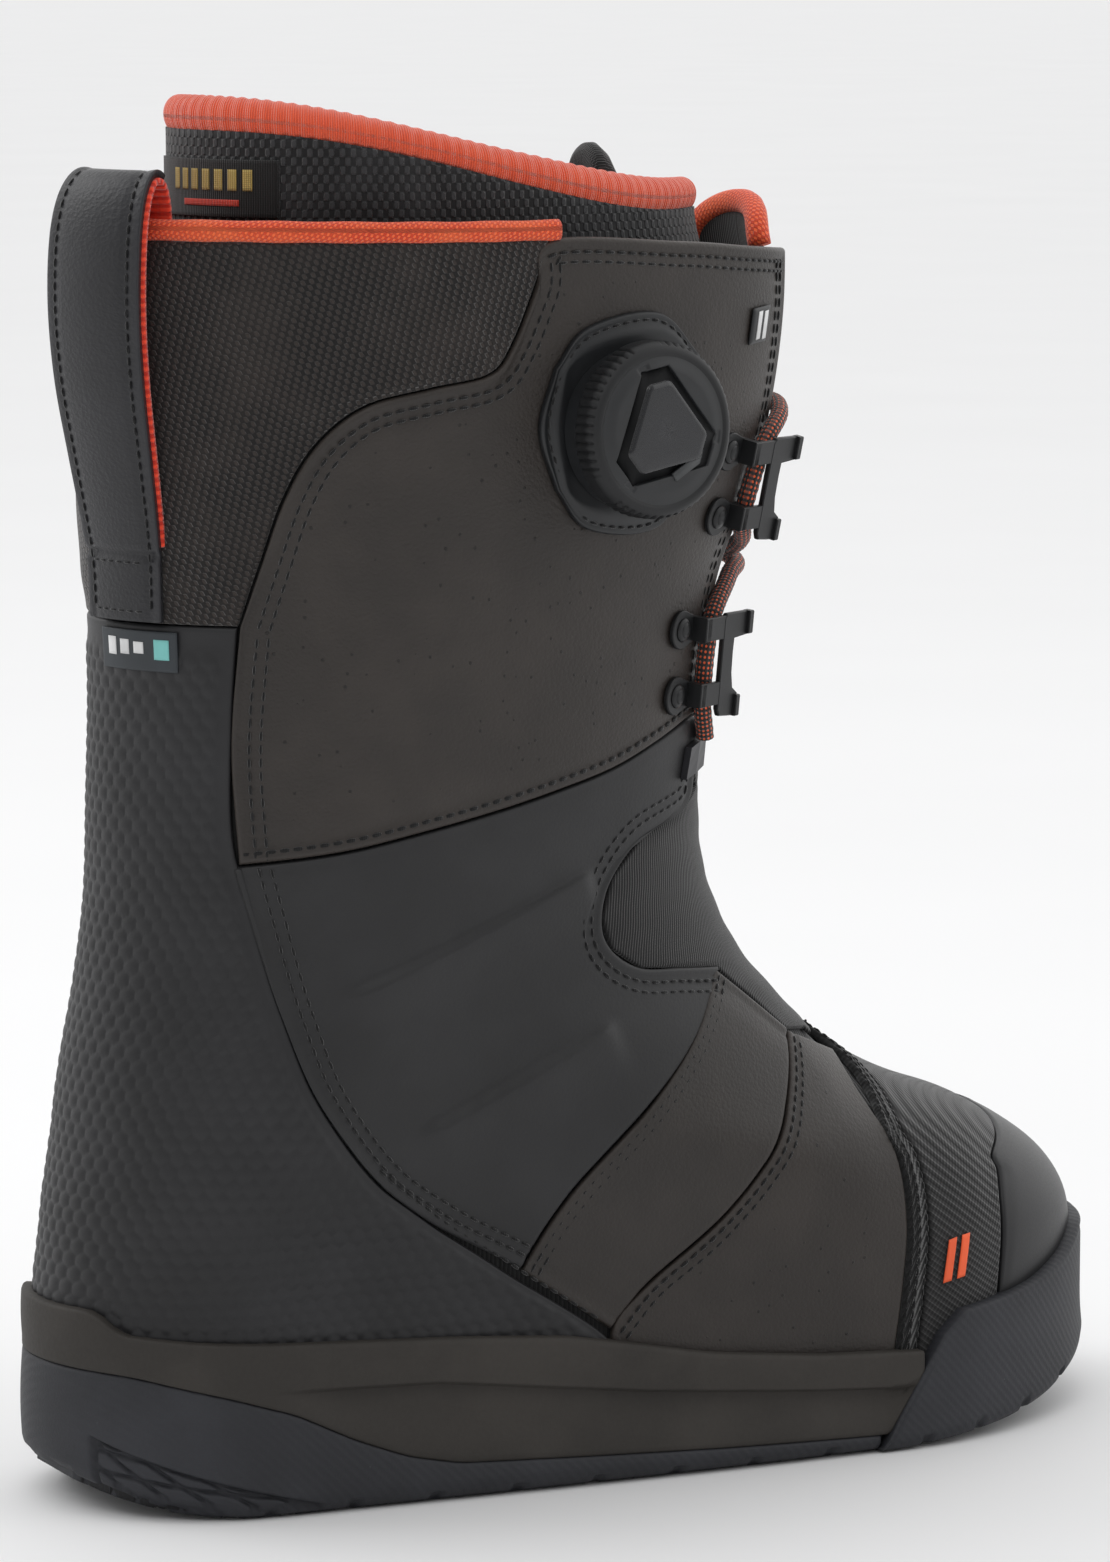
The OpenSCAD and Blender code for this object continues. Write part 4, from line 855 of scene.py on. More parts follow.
def build_gusset():
    upper = [[float(front_angle(v, gap_half(v))), v] for v in (CUFF_BASE - 2, 180)]
    low = [[float(front_angle(v, gap_half(v) - 0.6)), v] for v in (105, 103)]
    edge = np.concatenate([upper, side_uv(GUSSET_EDGE), low])
    share = np.linspace(0, 1, 150)
    edge = np.stack([np.interp(share, np.linspace(0, 1, len(edge)), edge[:, k]) for k in (0, 1)], -1)
    panel("instep_stretch_panel", across(edge, 2.2, 90), STRETCH, "instep_gusset", off_out=PANEL_OUT - 0.6,
          relief=lambda ctx: (0.3 * smooth(ctx["d"] / 10)
                              + 0.12 * np.sin(ctx["v"] * 0.55) * smooth(ctx["d"] / 8)))


# ---------------------------------------------------------------- toe
def top_pattern(p):
    return np.stack([p[..., 0], p[..., 1] * 0.5 - p[..., 2], 0 * p[..., 2]], -1)


def build_toe():
    seam_line = over_toe(TOE_SEAM + [G / 2, 0], TOE_SEAM_TOP - 0.6)
    tape_line = over_toe(TOE_SEAM + [TAPE_W, 0], TOE_SEAM_TOP - 3.6)
    panel_line = over_toe(TOE_SEAM + [TAPE_W + G, 0], TOE_SEAM_TOP - 4)
    cap_line = over_toe(CAP_EDGE, CAP_TOP)
    panel("toe_seam_tape", between(tape_line, seam_line, 1.5, 250), TAPE, "toe_tape", off_out=PANEL_OUT + 0.4)
    panel("toe_twill_panel", between(cap_line, panel_line, 2.0, 240), TWILL, "toe_panel", pattern=top_pattern,
          relief=lambda ctx: 0.5 * smooth(ctx["d"] / 12))
    edge = over_toe(CAP_EDGE + [G, 0], CAP_TOP - 0.3)
    a0 = float(side_uv(np.array(low_pt(CAP_EDGE[0][0] + G)))[0])
    low = np.stack([np.linspace(a0, 360 - a0, 240), np.full(240, 26.0)], -1)
    panel("toe_cap_moulding", between(low, edge, 1.8, 190), TOE_RUBBER, "toe_cap", off_out=PANEL_OUT + 0.3,
          relief=lambda ctx: 0.4 * smooth(ctx["dist"][3] / 6))
    lines = []
    for share in (0.12, 0.5, 0.88):
        lines.append(seam(lerp(seam_line, tape_line, share), PANEL_OUT + 0.5))
    stitches("toe_stitching", lines, THREAD, pitch=2.8, length=2.0, radius=0.36)


# ---------------------------------------------------------------- sole
OUTLINE_V = 36
LIP = 3.6
SOLE_OFF = PANEL_OUT + LIP
TIP = 165
SOLE_BOTTOM = np.array([(-TIP, 13), (-152, 8.5), (-144, 5), (-134, 2), (-118, 0), (66, 0), (84, 1.2),
                        (100, 3), (116, 6), (130, 10), (142, 15), (TIP, 25)], float)
OUTSOLE_TOP = np.array([(-TIP, 38), (-142, 36.5), (-120, 31), (-104, 26), (-88, 18), (-74, 12.5), (-60, 9.5),
                        (-30, 8), (14, 6), (58, 4.5)], float)
MIDSOLE_TOP = np.array([(-TIP, 52), (-149, 52), (-144, 46.5), (-128, 45), (-60, 41.5), (-30, 39), (-12, 35.5),
                        (10, 31), (40, 27.5), (72, 25.4)], float)
BAND_EDGE = np.array([(-124, 33), (-65, 31), (-8, 23.5), (38, 19), (64, 17)], float)
BUMPER_BACK = np.array([(58, 0), (63, 8), (72, 22), (77, 29), (84, 34.7)], float)
BUMPER_TOP = np.array([(84.7, 34.7), (98, 36), (112, 38), (126, 42), (138, 47), (TIP, 50)], float)


def curve_z(points, x, soften=3.0):
    """Height of a profile at x, its corners eased."""
    taps = np.linspace(-soften, soften, 7)
    return np.mean([np.interp(x + t, points[:, 0], points[:, 1]) for t in taps], 0)


def outline(a, off):
    q = skin_normal(a, OUTLINE_V)
    return skin(a, OUTLINE_V)[..., :2] + np.asarray(off)[..., None] * unit(q[..., :2])


def sole_wall(name, node, angles, z_low, z_high, bulge, material, inner_off, rows=26, foot_round=1.6):
    """Wall of the sole between two heights, rounded at top and bottom, with its own inner face."""
    share = np.concatenate([[0, 0.02, 0.06], np.linspace(0.12, 0.88, rows), [0.94, 0.98, 1]])
    xy0 = outline(angles, np.full(len(angles), SOLE_OFF))
    lo, hi = z_low(xy0[:, 0]), z_high(xy0[:, 0])
    Z = lerp(lo[None, :], hi[None, :], share[:, None])
    height = np.maximum(hi - lo, 0.5)[None, :]
    from_low, from_high = share[:, None] * height, (1 - share[:, None]) * height
    off = SOLE_OFF + bulge(from_low, from_high, Z, xy0[None, :, 0], angles[None, :])
    off = off - foot_round * (1 - end_round(from_low / (foot_round * 1.4)))
    off = off - 0.7 * (1 - end_round(from_high / 0.9))
    A = np.broadcast_to(angles[None, :], Z.shape)
    outer = np.concatenate([outline(A, off), Z[..., None]], -1)
    inner = np.concatenate([outline(A, np.full(Z.shape, float(inner_off))), Z[..., None]], -1)
    s = np.broadcast_to(arc(angles, np.full(len(angles), 36.0))[None, :], Z.shape)
    mm = np.stack([s, Z, 0 * Z], -1)
    piece = slab_mesh(name, outer, inner, material, {"mm": mm}, flip=True)
    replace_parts(piece, node)
    return piece


def sole_floor(name, material, x_range, z_of, inset_mm, relief, nx=260, ny=90):
    """Underside of the sole: a grid across the boot that meets the wall's lower edge."""
    a = np.linspace(0, 180, 721)
    half = outline(a, np.full(len(a), SOLE_OFF - inset_mm))
    other = outline(-a, np.full(len(a), SOLE_OFF - inset_mm))
    x = np.linspace(x_range[0], x_range[1], nx)
    y0 = np.interp(x, half[:, 0], half[:, 1])
    y1 = np.interp(x, other[:, 0], other[:, 1])
    t = np.linspace(0, 1, ny)
    X = np.broadcast_to(x[:, None], (nx, ny))
    Y = lerp(y0[:, None], y1[:, None], t[None, :])
    d = np.minimum(Y - y0[:, None], y1[:, None] - Y)
    Z = z_of(X)
    low = np.stack([X, Y, Z + relief(X, Y, d)], -1)
    high = np.stack([X, Y, Z + 5.0], -1)
    return slab_mesh(name, low, high, material, {"mm": np.stack([X, Y, 0 * X], -1)}, flip=False)


def tread_relief(x, y, d):
    """Chevron grooves across the tread and a groove along it, cut upwards."""
    wave = (x + np.where(x < -50, -0.18, 0.18) * np.abs(y)) / 14.0
    frac = np.abs(wave - np.round(wave)) * 14.0
    cut = 2.6 * (1 - smooth((frac - 1.0) / 0.9))
    mid = 1.6 * (1 - smooth((np.abs(np.abs(y) - 17) - 0.8) / 0.8))
    waist = 1 - smooth((x + 62) / 6) * smooth((-22 - x) / 6)
    return np.maximum(cut, mid) * waist * smooth(d / 1.5 + 0.4)


def notch(s_over, pitch, width, depth):
    frac = np.abs(s_over / pitch - np.round(s_over / pitch)) * pitch
    return -depth * (1 - smooth((frac - width / 2) / 0.8))


def wall_angle(x):
    """Angle from the heel at which the sole's wall passes x."""
    a = np.linspace(60, 180, 400)
    return float(np.interp(x, outline(a, np.full(len(a), SOLE_OFF))[:, 0], a))


def build_sole():
    heel_end = wall_angle(58)
    heel = np.linspace(-heel_end, heel_end, 520)
    bottom = lambda x: curve_z(SOLE_BOTTOM, x)

    def outsole_bulge(lo, hi, z, x, a):
        treads = notch(x, 22, 2.0, 1.2) * (1 - smooth((lo - 2.4) / 0.8))
        # Window of chevron lugs at each rear corner of the heel.
        across_w = np.abs(a) - 16
        roof = 21 - 0.52 * across_w
        room = np.minimum(np.minimum(across_w * 0.9, roof - z), z - 2.0)
        window = smooth(room / 0.7)
        lug_a = np.abs(((across_w + 0.9 * z) / 5.2) % 1 - 0.5) * 5.2
        lug_b = np.abs(((z + 0.25 * across_w) / 5.0) % 1 - 0.5) * 5.0
        lugs = smooth((np.minimum(lug_a, lug_b) - 0.35) / 0.4) * smooth((room - 0.9) / 0.5)
        belly = 0.7 * np.sin(np.pi * np.clip(lo / np.maximum(lo + hi, 1), 0, 1))
        return treads * (1 - window) - 1.8 * window * (1 - 0.75 * lugs) + belly - 0.2
    sole_wall("outsole_wall", "outsole", heel, bottom, lambda x: curve_z(OUTSOLE_TOP, x), outsole_bulge,
              OUTSOLE, 0, 60, 4.2)
    floor_piece = sole_floor("outsole_tread", OUTSOLE, (-150, 58), bottom, 3.6, tread_relief)
    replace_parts(floor_piece, "outsole")
    lug = sole_floor("heel_tread_lugs", TREAD, (-149, -127), lambda x: bottom(x) + 0.1, 3.6,
                     lambda x, y, d: 1.2 * (np.abs(np.sin(x * 0.7)) < 0.35) + 0.6 * (np.abs(y) > 30), 60, 60)
    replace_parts(lug, "heel_tread_insert")

    def midsole_bulge(lo, hi, z, x, a):
        edge = np.interp(x, BAND_EDGE[:, 0], BAND_EDGE[:, 1])
        low = z - lo                            # height of the wall's lower edge
        hollow = smooth((edge - z) / 1.3) * smooth((z - low) / np.maximum(edge - low, 2.0) * 1.15)
        lens = smooth((x + 112) / 26)
        return -0.1 - 2.4 * hollow * lens + 0.25 * np.sin(np.clip(hi / 12, 0, 1) * np.pi)
    mid_end = wall_angle(71)
    mids = np.linspace(-mid_end, mid_end, 520)

    def mid_low(x):
        toe_side = np.interp(x, BUMPER_BACK[:, 0] + 0.2, BUMPER_BACK[:, 1], left=0)
        return np.maximum(curve_z(OUTSOLE_TOP, x), toe_side) + 0.05
    sole_wall("midsole_wall", "midsole", mids, mid_low, lambda x: curve_z(MIDSOLE_TOP, x, 2), midsole_bulge,
              MIDSOLE, -2, 60, 0.35)

    toe = np.linspace(heel_end + 0.3, 360 - heel_end - 0.3, 420)

    def bumper_high(x):
        back = np.interp(x, BUMPER_BACK[:, 0], BUMPER_BACK[:, 1])
        return np.where(x < 84.7, back, curve_z(BUMPER_TOP, np.maximum(x, 84.7), 2.0))

    def bumper_bulge(lo, hi, z, x, a):
        treads = notch(x - 4, 17, 2.0, 1.4) * (1 - smooth((lo - 2.4) / 0.8))
        return 0.6 + treads + groove(hi, 2.2, 0.6, 0.3) + 0.8 * np.exp(-(lo / 7) ** 2)
    sole_wall("toe_bumper_wall", "toe_bumper", toe, bottom, bumper_high, bumper_bulge, BUMPER, -1, 40, 3.0)
    front = sole_floor("toe_tread", BUMPER, (58.6, 144.5), bottom, 2.9, tread_relief, 110, 90)
    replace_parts(front, "toe_bumper")


# ---------------------------------------------------------------- pull loop and labels
LOOP_MID, LOOP_HALF = 13.5, 11.5
LOOP_LINE = [(3.2, 223), (3.2, 236), (4.2, 246), (6.6, 262), (9.4, 281), (10.6, 300), (10, 316), (7.6, 326),
             (3.6, 331), (-0.8, 330), (-3.4, 325), (-4.1, 317), (-4.1, 306)]


def loop_grid(line, low, high, width_share=1.0, relief=None):
    t = unit(np.gradient(line, axis=0))
    nrm = np.stack([t[:, 1], -t[:, 0]], -1)
    w = spread(24, 1.2) * 2 - 1
    rows = []
    for off in (high, low):
        bulge = np.zeros((len(line), len(w))) if relief is None or off == low else relief(line, w)
        q = line[:, None] + (off + bulge)[..., None] * nrm[:, None]
        a = LOOP_MID - LOOP_HALF * width_share * w[None, :]
        rows.append(shell(np.broadcast_to(a, q.shape[:2]), q[..., 1], q[..., 0]))
    s = np.concatenate([[0], np.cumsum(np.linalg.norm(np.diff(line, axis=0), axis=1))])
    size = rows[0].shape[:2]
    mm = np.stack([np.broadcast_to(w[None, :] * 11, size), np.broadcast_to(s[:, None], size),
                   np.zeros(size)], -1)
    edge = np.broadcast_to((1 - np.abs(w))[None, :] * 11, size)
    return rows[0], rows[1], mm, edge


def build_loop():
    line = smooth_line(LOOP_LINE, 220)
    cut = int(np.argmax(line[:, 0] < -0.8))

    def relief(part, w):
        d = (1 - np.abs(w))[None, :] * 11
        tail = 0.8 * np.exp(-((part[:, 1:] - 239.5) / 1.2) ** 2)
        return 0.25 * np.exp(-(d / 1.2) ** 2) + groove(d, 2.4, 0.6, 0.35) + 0 * part[:, :1] - tail
    outer, inner, mm, edge = loop_grid(line[:cut], 0.05, 1.7, 1.0, relief)
    piece = slab_mesh("pull_loop_strap", outer, inner, LOOP, {"mm": mm, "edge": edge})
    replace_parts(piece, "pull_loop")
    start = int(np.argmax(line[:, 1] > 241))
    outer, inner, mm, _ = loop_grid(line[start:], -1.3, -0.05, 1.05)
    piece = slab_mesh("pull_loop_ribbed_webbing", outer, inner, WEBBING, {"mm": mm[..., [1, 0, 2]]})
    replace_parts(piece, "pull_loop_webbing")
    t = unit(np.gradient(line, axis=0))
    nrm = np.stack([t[:, 1], -t[:, 0]], -1)
    lines = []
    for w in (-0.8, 0.8):
        q = (line + 1.75 * nrm)[4:cut - 4]
        a = np.full(len(q), LOOP_MID - LOOP_HALF * w)
        lines.append((shell(a, q[:, 1], q[:, 0]), skin_normal(a, np.minimum(q[:, 1], 330))))
    for z in (225.5, 237.5):
        a = np.linspace(LOOP_MID - LOOP_HALF * 0.8, LOOP_MID + LOOP_HALF * 0.8, 30)
        lines.append((shell(a, np.full(30, z), np.full(30, 3.2 + 1.75)), skin_normal(a, np.full(30, z))))
    stitches("pull_loop_stitching", lines, THREAD, pitch=2.9, length=2.2, radius=0.36)


def patch(name, node, a0, a1, v0, v1, off, thick, material, na=40, nv=16, relief=None, place=None):
    a, v = np.meshgrid(np.linspace(a0, a1, na), np.linspace(v0, v1, nv), indexing="ij")
    h = np.zeros_like(a) if relief is None else relief(a, v)
    n = skin_normal(a, v)
    base = skin(a, v)
    mm = np.stack([arc(a, v), base[..., 2], 0 * a], -1)
    high, low = base + (off + thick + h)[..., None] * n, base + off * n
    if place:
        high, low = place(high, v), place(low, v)
    piece = slab_mesh(name, high, low, material, {"mm": mm}, flip=True)
    if node:
        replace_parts(piece, node)
    return piece


def build_labels():
    """Woven labels and badges with plain generic marks in place of lettering."""
    patch("hang_tab_cloth", "hang_tab", 4, 28, 210.5, 220.5, PANEL_OUT + 0.45, 0.6, TAB)
    for k, a in enumerate((7, 11.5, 16)):
        patch(f"hang_tab_bar_{k}", None, a, a + 3, 214 + k * 0.4, 218.5 - k * 0.4,
              PANEL_OUT + 1.05, 0.12, GREY, 6, 6)
    patch("hang_tab_end", None, 22, 26, 213.5, 218.5, PANEL_OUT + 1.05, 0.12, TEAL, 8, 8)
    top = LINER_OFF + 0.3
    patch("liner_label_cloth", "liner_label", -14, 38, 321, 335, top, 0.8, LABEL, place=draw_in)
    for k in range(7):
        a = 0.5 + k * 4.6
        patch(f"liner_label_gold_{k}", None, a, a + 2.8, 327.4, 332.6, top + 0.8, 0.15, GOLD, 8, 8,
              place=draw_in)
    patch("liner_label_red", None, 6, 27, 323.6, 325.2, top + 0.8, 0.15, RED, 30, 4, place=draw_in)


def side_patch(name, node, corners, off, thick, material, n=14):
    """Flat mark on the outer side between four corners seen from the side."""
    c = [np.array(p, float) for p in corners]
    u, w = np.meshgrid(np.linspace(0, 1, n), np.linspace(0, 1, n), indexing="ij")
    g = lerp(lerp(c[0], c[1], u[..., None]), lerp(c[3], c[2], u[..., None]), w[..., None])
    uv = side_uv(g)
    base, nrm = skin(uv[..., 0], uv[..., 1]), skin_normal(uv[..., 0], uv[..., 1])
    d = np.minimum(np.minimum(u, 1 - u), np.minimum(w, 1 - w))
    high = base + (off + thick * (0.5 + 0.5 * end_round(d * 6)))[..., None] * nrm
    piece = slab_mesh(name, high, base + off * nrm, material, {"mm": g[..., [0, 1, 1]]}, flip=True)
    if node:
        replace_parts(piece, node)
    return piece


def build_badges():
    off = PANEL_OUT + 0.35
    side_patch("cuff_badge_plate", "cuff_badge", [(23.4, 287), (30.6, 287.6), (32.6, 296.6), (25.0, 296)],
               off, 0.7, DIAL)
    for k, x in enumerate((25.6, 28.2)):
        bar = [(x, 288.2), (x + 1.6, 288.4), (x + 2.8, 295.4), (x + 1.2, 295.2)]
        side_patch(f"cuff_badge_bar_{k}", None, bar, off + 0.7, 0.2, GREY)
    off = PANEL_OUT + 0.75
    side_patch("toe_mark_a", "toe_badge", [(78, 42), (80.6, 42.4), (82.4, 53.4), (79.8, 53)],
               off, 0.4, ORANGE_MARK)
    side_patch("toe_mark_b", None, [(82.4, 42.6), (85, 43), (86.8, 53.8), (84.2, 53.6)],
               off, 0.4, ORANGE_MARK)


# ---------------------------------------------------------------- tongue, lace and hooks
TONGUE_TOP, TONGUE_ARCH = COLLAR_Z - 8, 10.5


def tongue_grid(rows, cols, lift=0.0):
    j = np.linspace(-1, 1, cols)
    top = TONGUE_TOP + TONGUE_ARCH * np.sqrt(np.maximum(0, 1 - j * j)) + lift
    t = np.linspace(0, 1, rows)[:, None]
    v = lerp(CUFF_BASE - 1.4, top[None, :], t)
    half = front_angle(np.minimum(v, TONGUE_TOP), gap_half(v) - 1)
    return lerp(half, 360 - half, (j[None, :] + 1) / 2), v


def tongue_back(v):
    return -4.5 * smooth((v - 290) / 28)


def build_tongue():
    a, v = tongue_grid(90, 48)
    base, n = skin(a, v), skin_normal(a, v)
    d = np.minimum.reduce(edge_distance(base))
    quilt = 0.35 * np.abs(np.sin(v * np.pi / 22))
    back = tongue_back(v)
    swell = 2.6 * (0.4 + 0.6 * end_round(d / 3)) + quilt * smooth(d / 5)
    high = base + (back - LINING_T + swell)[..., None] * n
    mm = np.stack([arc(a, v), base[..., 2], 0 * a], -1)
    low = base + (back - LINING_T)[..., None] * n
    piece = slab_mesh("tongue_pad", high, low, STRETCH, {"mm": mm}, flip=True)
    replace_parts(piece, "tongue")
    a, v = tongue_grid(2, 120, 2.4)
    path = shell(a[-1], v[-1], tongue_back(v[-1]) - 0.5)
    piece = tube_mesh("tongue_binding_roll", path, 2.7, PIPING, 14,
                      ripple=lambda s, q: 1 + 0.2 * np.abs(np.cos(q)))
    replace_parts(piece, "tongue_binding")


LACE_D = 4.6
LACE_LIFT = PANEL_OUT + LACE_D / 2 + 0.35
HOOK_A, LACE_A = 136, 147.5
HOOK_V = {"upper": 252.5, "lower": 207}
HOOK_PITCH = 8.5
LACE_ROUTE = [(152, 186, 0), (LACE_A, 198, 0), (LACE_A, 216, 0), (162, 227, 0), (180, 232, 5.2),
              (198, 237, 0), (360 - LACE_A, 245, 0), (360 - LACE_A, 261, 0), (202, 269, 0), (180, 270.5, 0),
              (158, 269, 0), (LACE_A, 261, 0), (LACE_A, 245, 0), (162, 237, 0), (180, 232, 0), (198, 227, 0),
              (360 - LACE_A, 216, 0), (360 - LACE_A, 198, 0), (208, 186, 0)]


def build_lace():
    r = np.array(LACE_ROUTE, float)
    pts = smooth_line(shell(r[:, 0], r[:, 1], LACE_LIFT + r[:, 2]), 560)
    piece = tube_mesh("braided_lace", pts, LACE_D / 2, LACE, 14,
                      ripple=lambda s, q: 1 + 0.035 * np.sin(s * 2 * np.pi / 2.6 + q * 2))
    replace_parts(piece, "lace")


def prism(outlines, z0, z1, bevel=0.25):
    """Verts and faces of outlines raised from z0 to z1, their top and bottom edges eased."""
    verts, faces = [], []
    for pts in outlines:
        p = np.asarray(pts, float)
        centre = p.mean(0)
        ease = p + bevel * unit(centre - p)
        rings = [(ease, z0), (p, z0 + bevel), (p, z1 - bevel), (ease, z1)]
        start, n = len(verts), len(p)
        for ring, z in rings:
            verts += [(x, y, z) for x, y in ring]
        for k in range(3):
            for i in range(n):
                j = (i + 1) % n
                b = start + k * n
                faces.append((b + i, b + j, b + n + j, b + n + i))
        faces.append(tuple(start + i for i in reversed(range(n))))
        faces.append(tuple(start + 3 * n + i for i in range(n)))
    return verts, faces


def arc_pts(cx, cy, r, a0, a1, n=14):
    turn = np.radians(np.linspace(a0, a1, n))
    return [(cx + r * math.cos(a), cy + r * math.sin(a)) for a in turn]


def placed(parts):
    verts, faces = [], []
    for v, f in parts:
        start = len(verts)
        verts += list(v)
        faces += [tuple(start + i for i in q) for q in f]
    return np.array(verts, float), faces


def hook_frame(v, side):
    n = skin_normal(np.array(float(side * HOOK_A)), np.array(float(v)))
    t = side * unit(np.array([-n[1], n[0], 0.0]))
    return shell(side * HOOK_A, v, np.array(float(PANEL_OUT))), t, side * np.cross(n, t), n


def hook_shape():
    """Two riveted ears, arms that step off the cuff and an upright claw, as x forward, y up, z out."""
    parts = []
    for s in (-1, 1):
        y = s * HOOK_PITCH
        ear = arc_pts(0, y, 5, 60, 300, 24) + [(6.4, y - 3.1), (6.4, y + 3.1)]
        parts.append(prism([ear], 0.3, 1.5))
        parts.append(prism([[(4.8, y - 3.1), (7.4, y - 3.1), (7.4, y + 3.1), (4.8, y + 3.1)]], 0.3, 5.8, 0.3))
        parts.append(prism([[(5.2, y - 3), (14.6, y - 3), (14.6, y + 3), (5.2, y + 3)]], 4.4, 5.8))
    spine = [(14, -13), (15, -14.6)] + [(19.5, -15), (23.4, -15.2), (23.4, -9.6), (20.6, -8.0), (19.4, -4),
                                        (19.2, 2), (19.4, 5.6), (27, 6), (27, 11.8), (15, 12), (14, 11)]
    verts, faces = prism([spine], 4.4, 5.9, 0.3)
    parts.append((verts, faces))
    parts.append(prism([[(25.2, 5.9), (27.1, 5.9), (27.1, 11.9), (25.2, 11.9)]], 4.4, 6.9, 0.3))
    parts.append(prism([[(21.8, -15.2), (23.5, -15.2), (23.5, -9.6), (21.8, -9.6)]], 4.4, 6.9, 0.3))
    return placed(parts)


def dome(cx, cy, r, z0, h, rings=7, seg=26):
    verts, faces = [], []
    for i in range(rings):
        t = i / (rings - 1)
        rr, z = r * math.cos(t * math.pi / 2 * 0.98), z0 + h * math.sin(t * math.pi / 2)
        verts += [(cx + rr * math.cos(2 * math.pi * k / seg), cy + rr * math.sin(2 * math.pi * k / seg), z)
                  for k in range(seg)]
    for i in range(rings - 1):
        for k in range(seg):
            a, b = i * seg + k, i * seg + (k + 1) % seg
            faces.append((a, b, b + seg, a + seg))
    faces.append(tuple(reversed(range(seg))))
    faces.append(tuple(range((rings - 1) * seg, rings * seg)))
    return verts, faces


def build_hooks():
    shape, faces = hook_shape()
    rivets = placed([dome(0, s * HOOK_PITCH, 3.1, 1.52, 1.1) for s in (-1, 1)]
                    + [dome(0, s * HOOK_PITCH, 2.0, 2.2, 0.75) for s in (-1, 1)])
    all_rivets = []
    for level, v in HOOK_V.items():
        for side, word in SIDES:
            o, t, up, n = hook_frame(v, side)
            place = lambda p: o + p[:, :1] * t + p[:, 1:2] * up + p[:, 2:] * n
            turned = [f[::-1] for f in faces] if side < 0 else faces
            piece = make_mesh(f"lace_hook_{level}_{word}", place(shape), turned, HOOK, smooth_shade=False)
            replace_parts(piece, f"hook_{level}_{word}")
            all_rivets.append((place(rivets[0]), [f[::-1] for f in rivets[1]] if side < 0 else rivets[1]))
    verts, f = placed(all_rivets)
    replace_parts(make_mesh("hook_rivet_heads", verts, f, HOOK), "hook_rivets")


# ---------------------------------------------------------------- dial
DIAL_A, DIAL_V = 108, 269
FLANGE_T = 2.2
_dq = skin_normal(DIAL_A, DIAL_V)
DIAL_N = unit(np.array([_dq[0], _dq[1], 0.0]))
DIAL_O = shell(DIAL_A, DIAL_V, np.array(PANEL_OUT + 0.2 + FLANGE_T))
DIAL_X = np.array([-DIAL_N[1], DIAL_N[0], 0.0])
DIAL_Y = np.array([0, 0, 1.0])
DIAL_R, KNOB_TOP, SKIRT = 22, 13.4, 5.2


def dial_place(p):
    return DIAL_O + p[..., :1] * DIAL_X + p[..., 1:2] * DIAL_Y + p[..., 2:] * DIAL_N


CAP_TURN = math.radians(100)


def cap_radius(q):
    """Outline of the cap: a triangle with wide cut corners."""
    third = 2 * np.pi / 3
    d = np.abs((np.asarray(q) - CAP_TURN + third / 2) % third - third / 2)
    return np.minimum(8.9 / np.cos(third / 2 - d), 12.2 / np.cos(d))


def lathe(name, profile, material, body, seg=180, ripple=None, node=None):
    """Piece turned on the dial's axis. profile is (radius, height), from inside round to the front."""
    p = np.asarray(profile, float)
    q = np.linspace(0, 2 * np.pi, seg, endpoint=False)
    R, Q = np.meshgrid(p[:, 0], q, indexing="ij")
    Z = np.broadcast_to(p[:, 1:], R.shape)
    if ripple:
        R, Z = ripple(R, Q, Z)
    verts = dial_place(np.stack([R * np.cos(Q), R * np.sin(Q), Z], -1).reshape(-1, 3))
    faces = [tuple(f) for f in grid_faces(len(p), seg, True, flip=True)]
    n = len(p) * seg
    faces += [tuple(range(seg)), tuple(reversed(range(n - seg, n)))]
    piece = make_mesh(name, verts, faces, material, body=body)
    if node:
        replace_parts(piece, *([node] if isinstance(node, str) else node))
    return piece


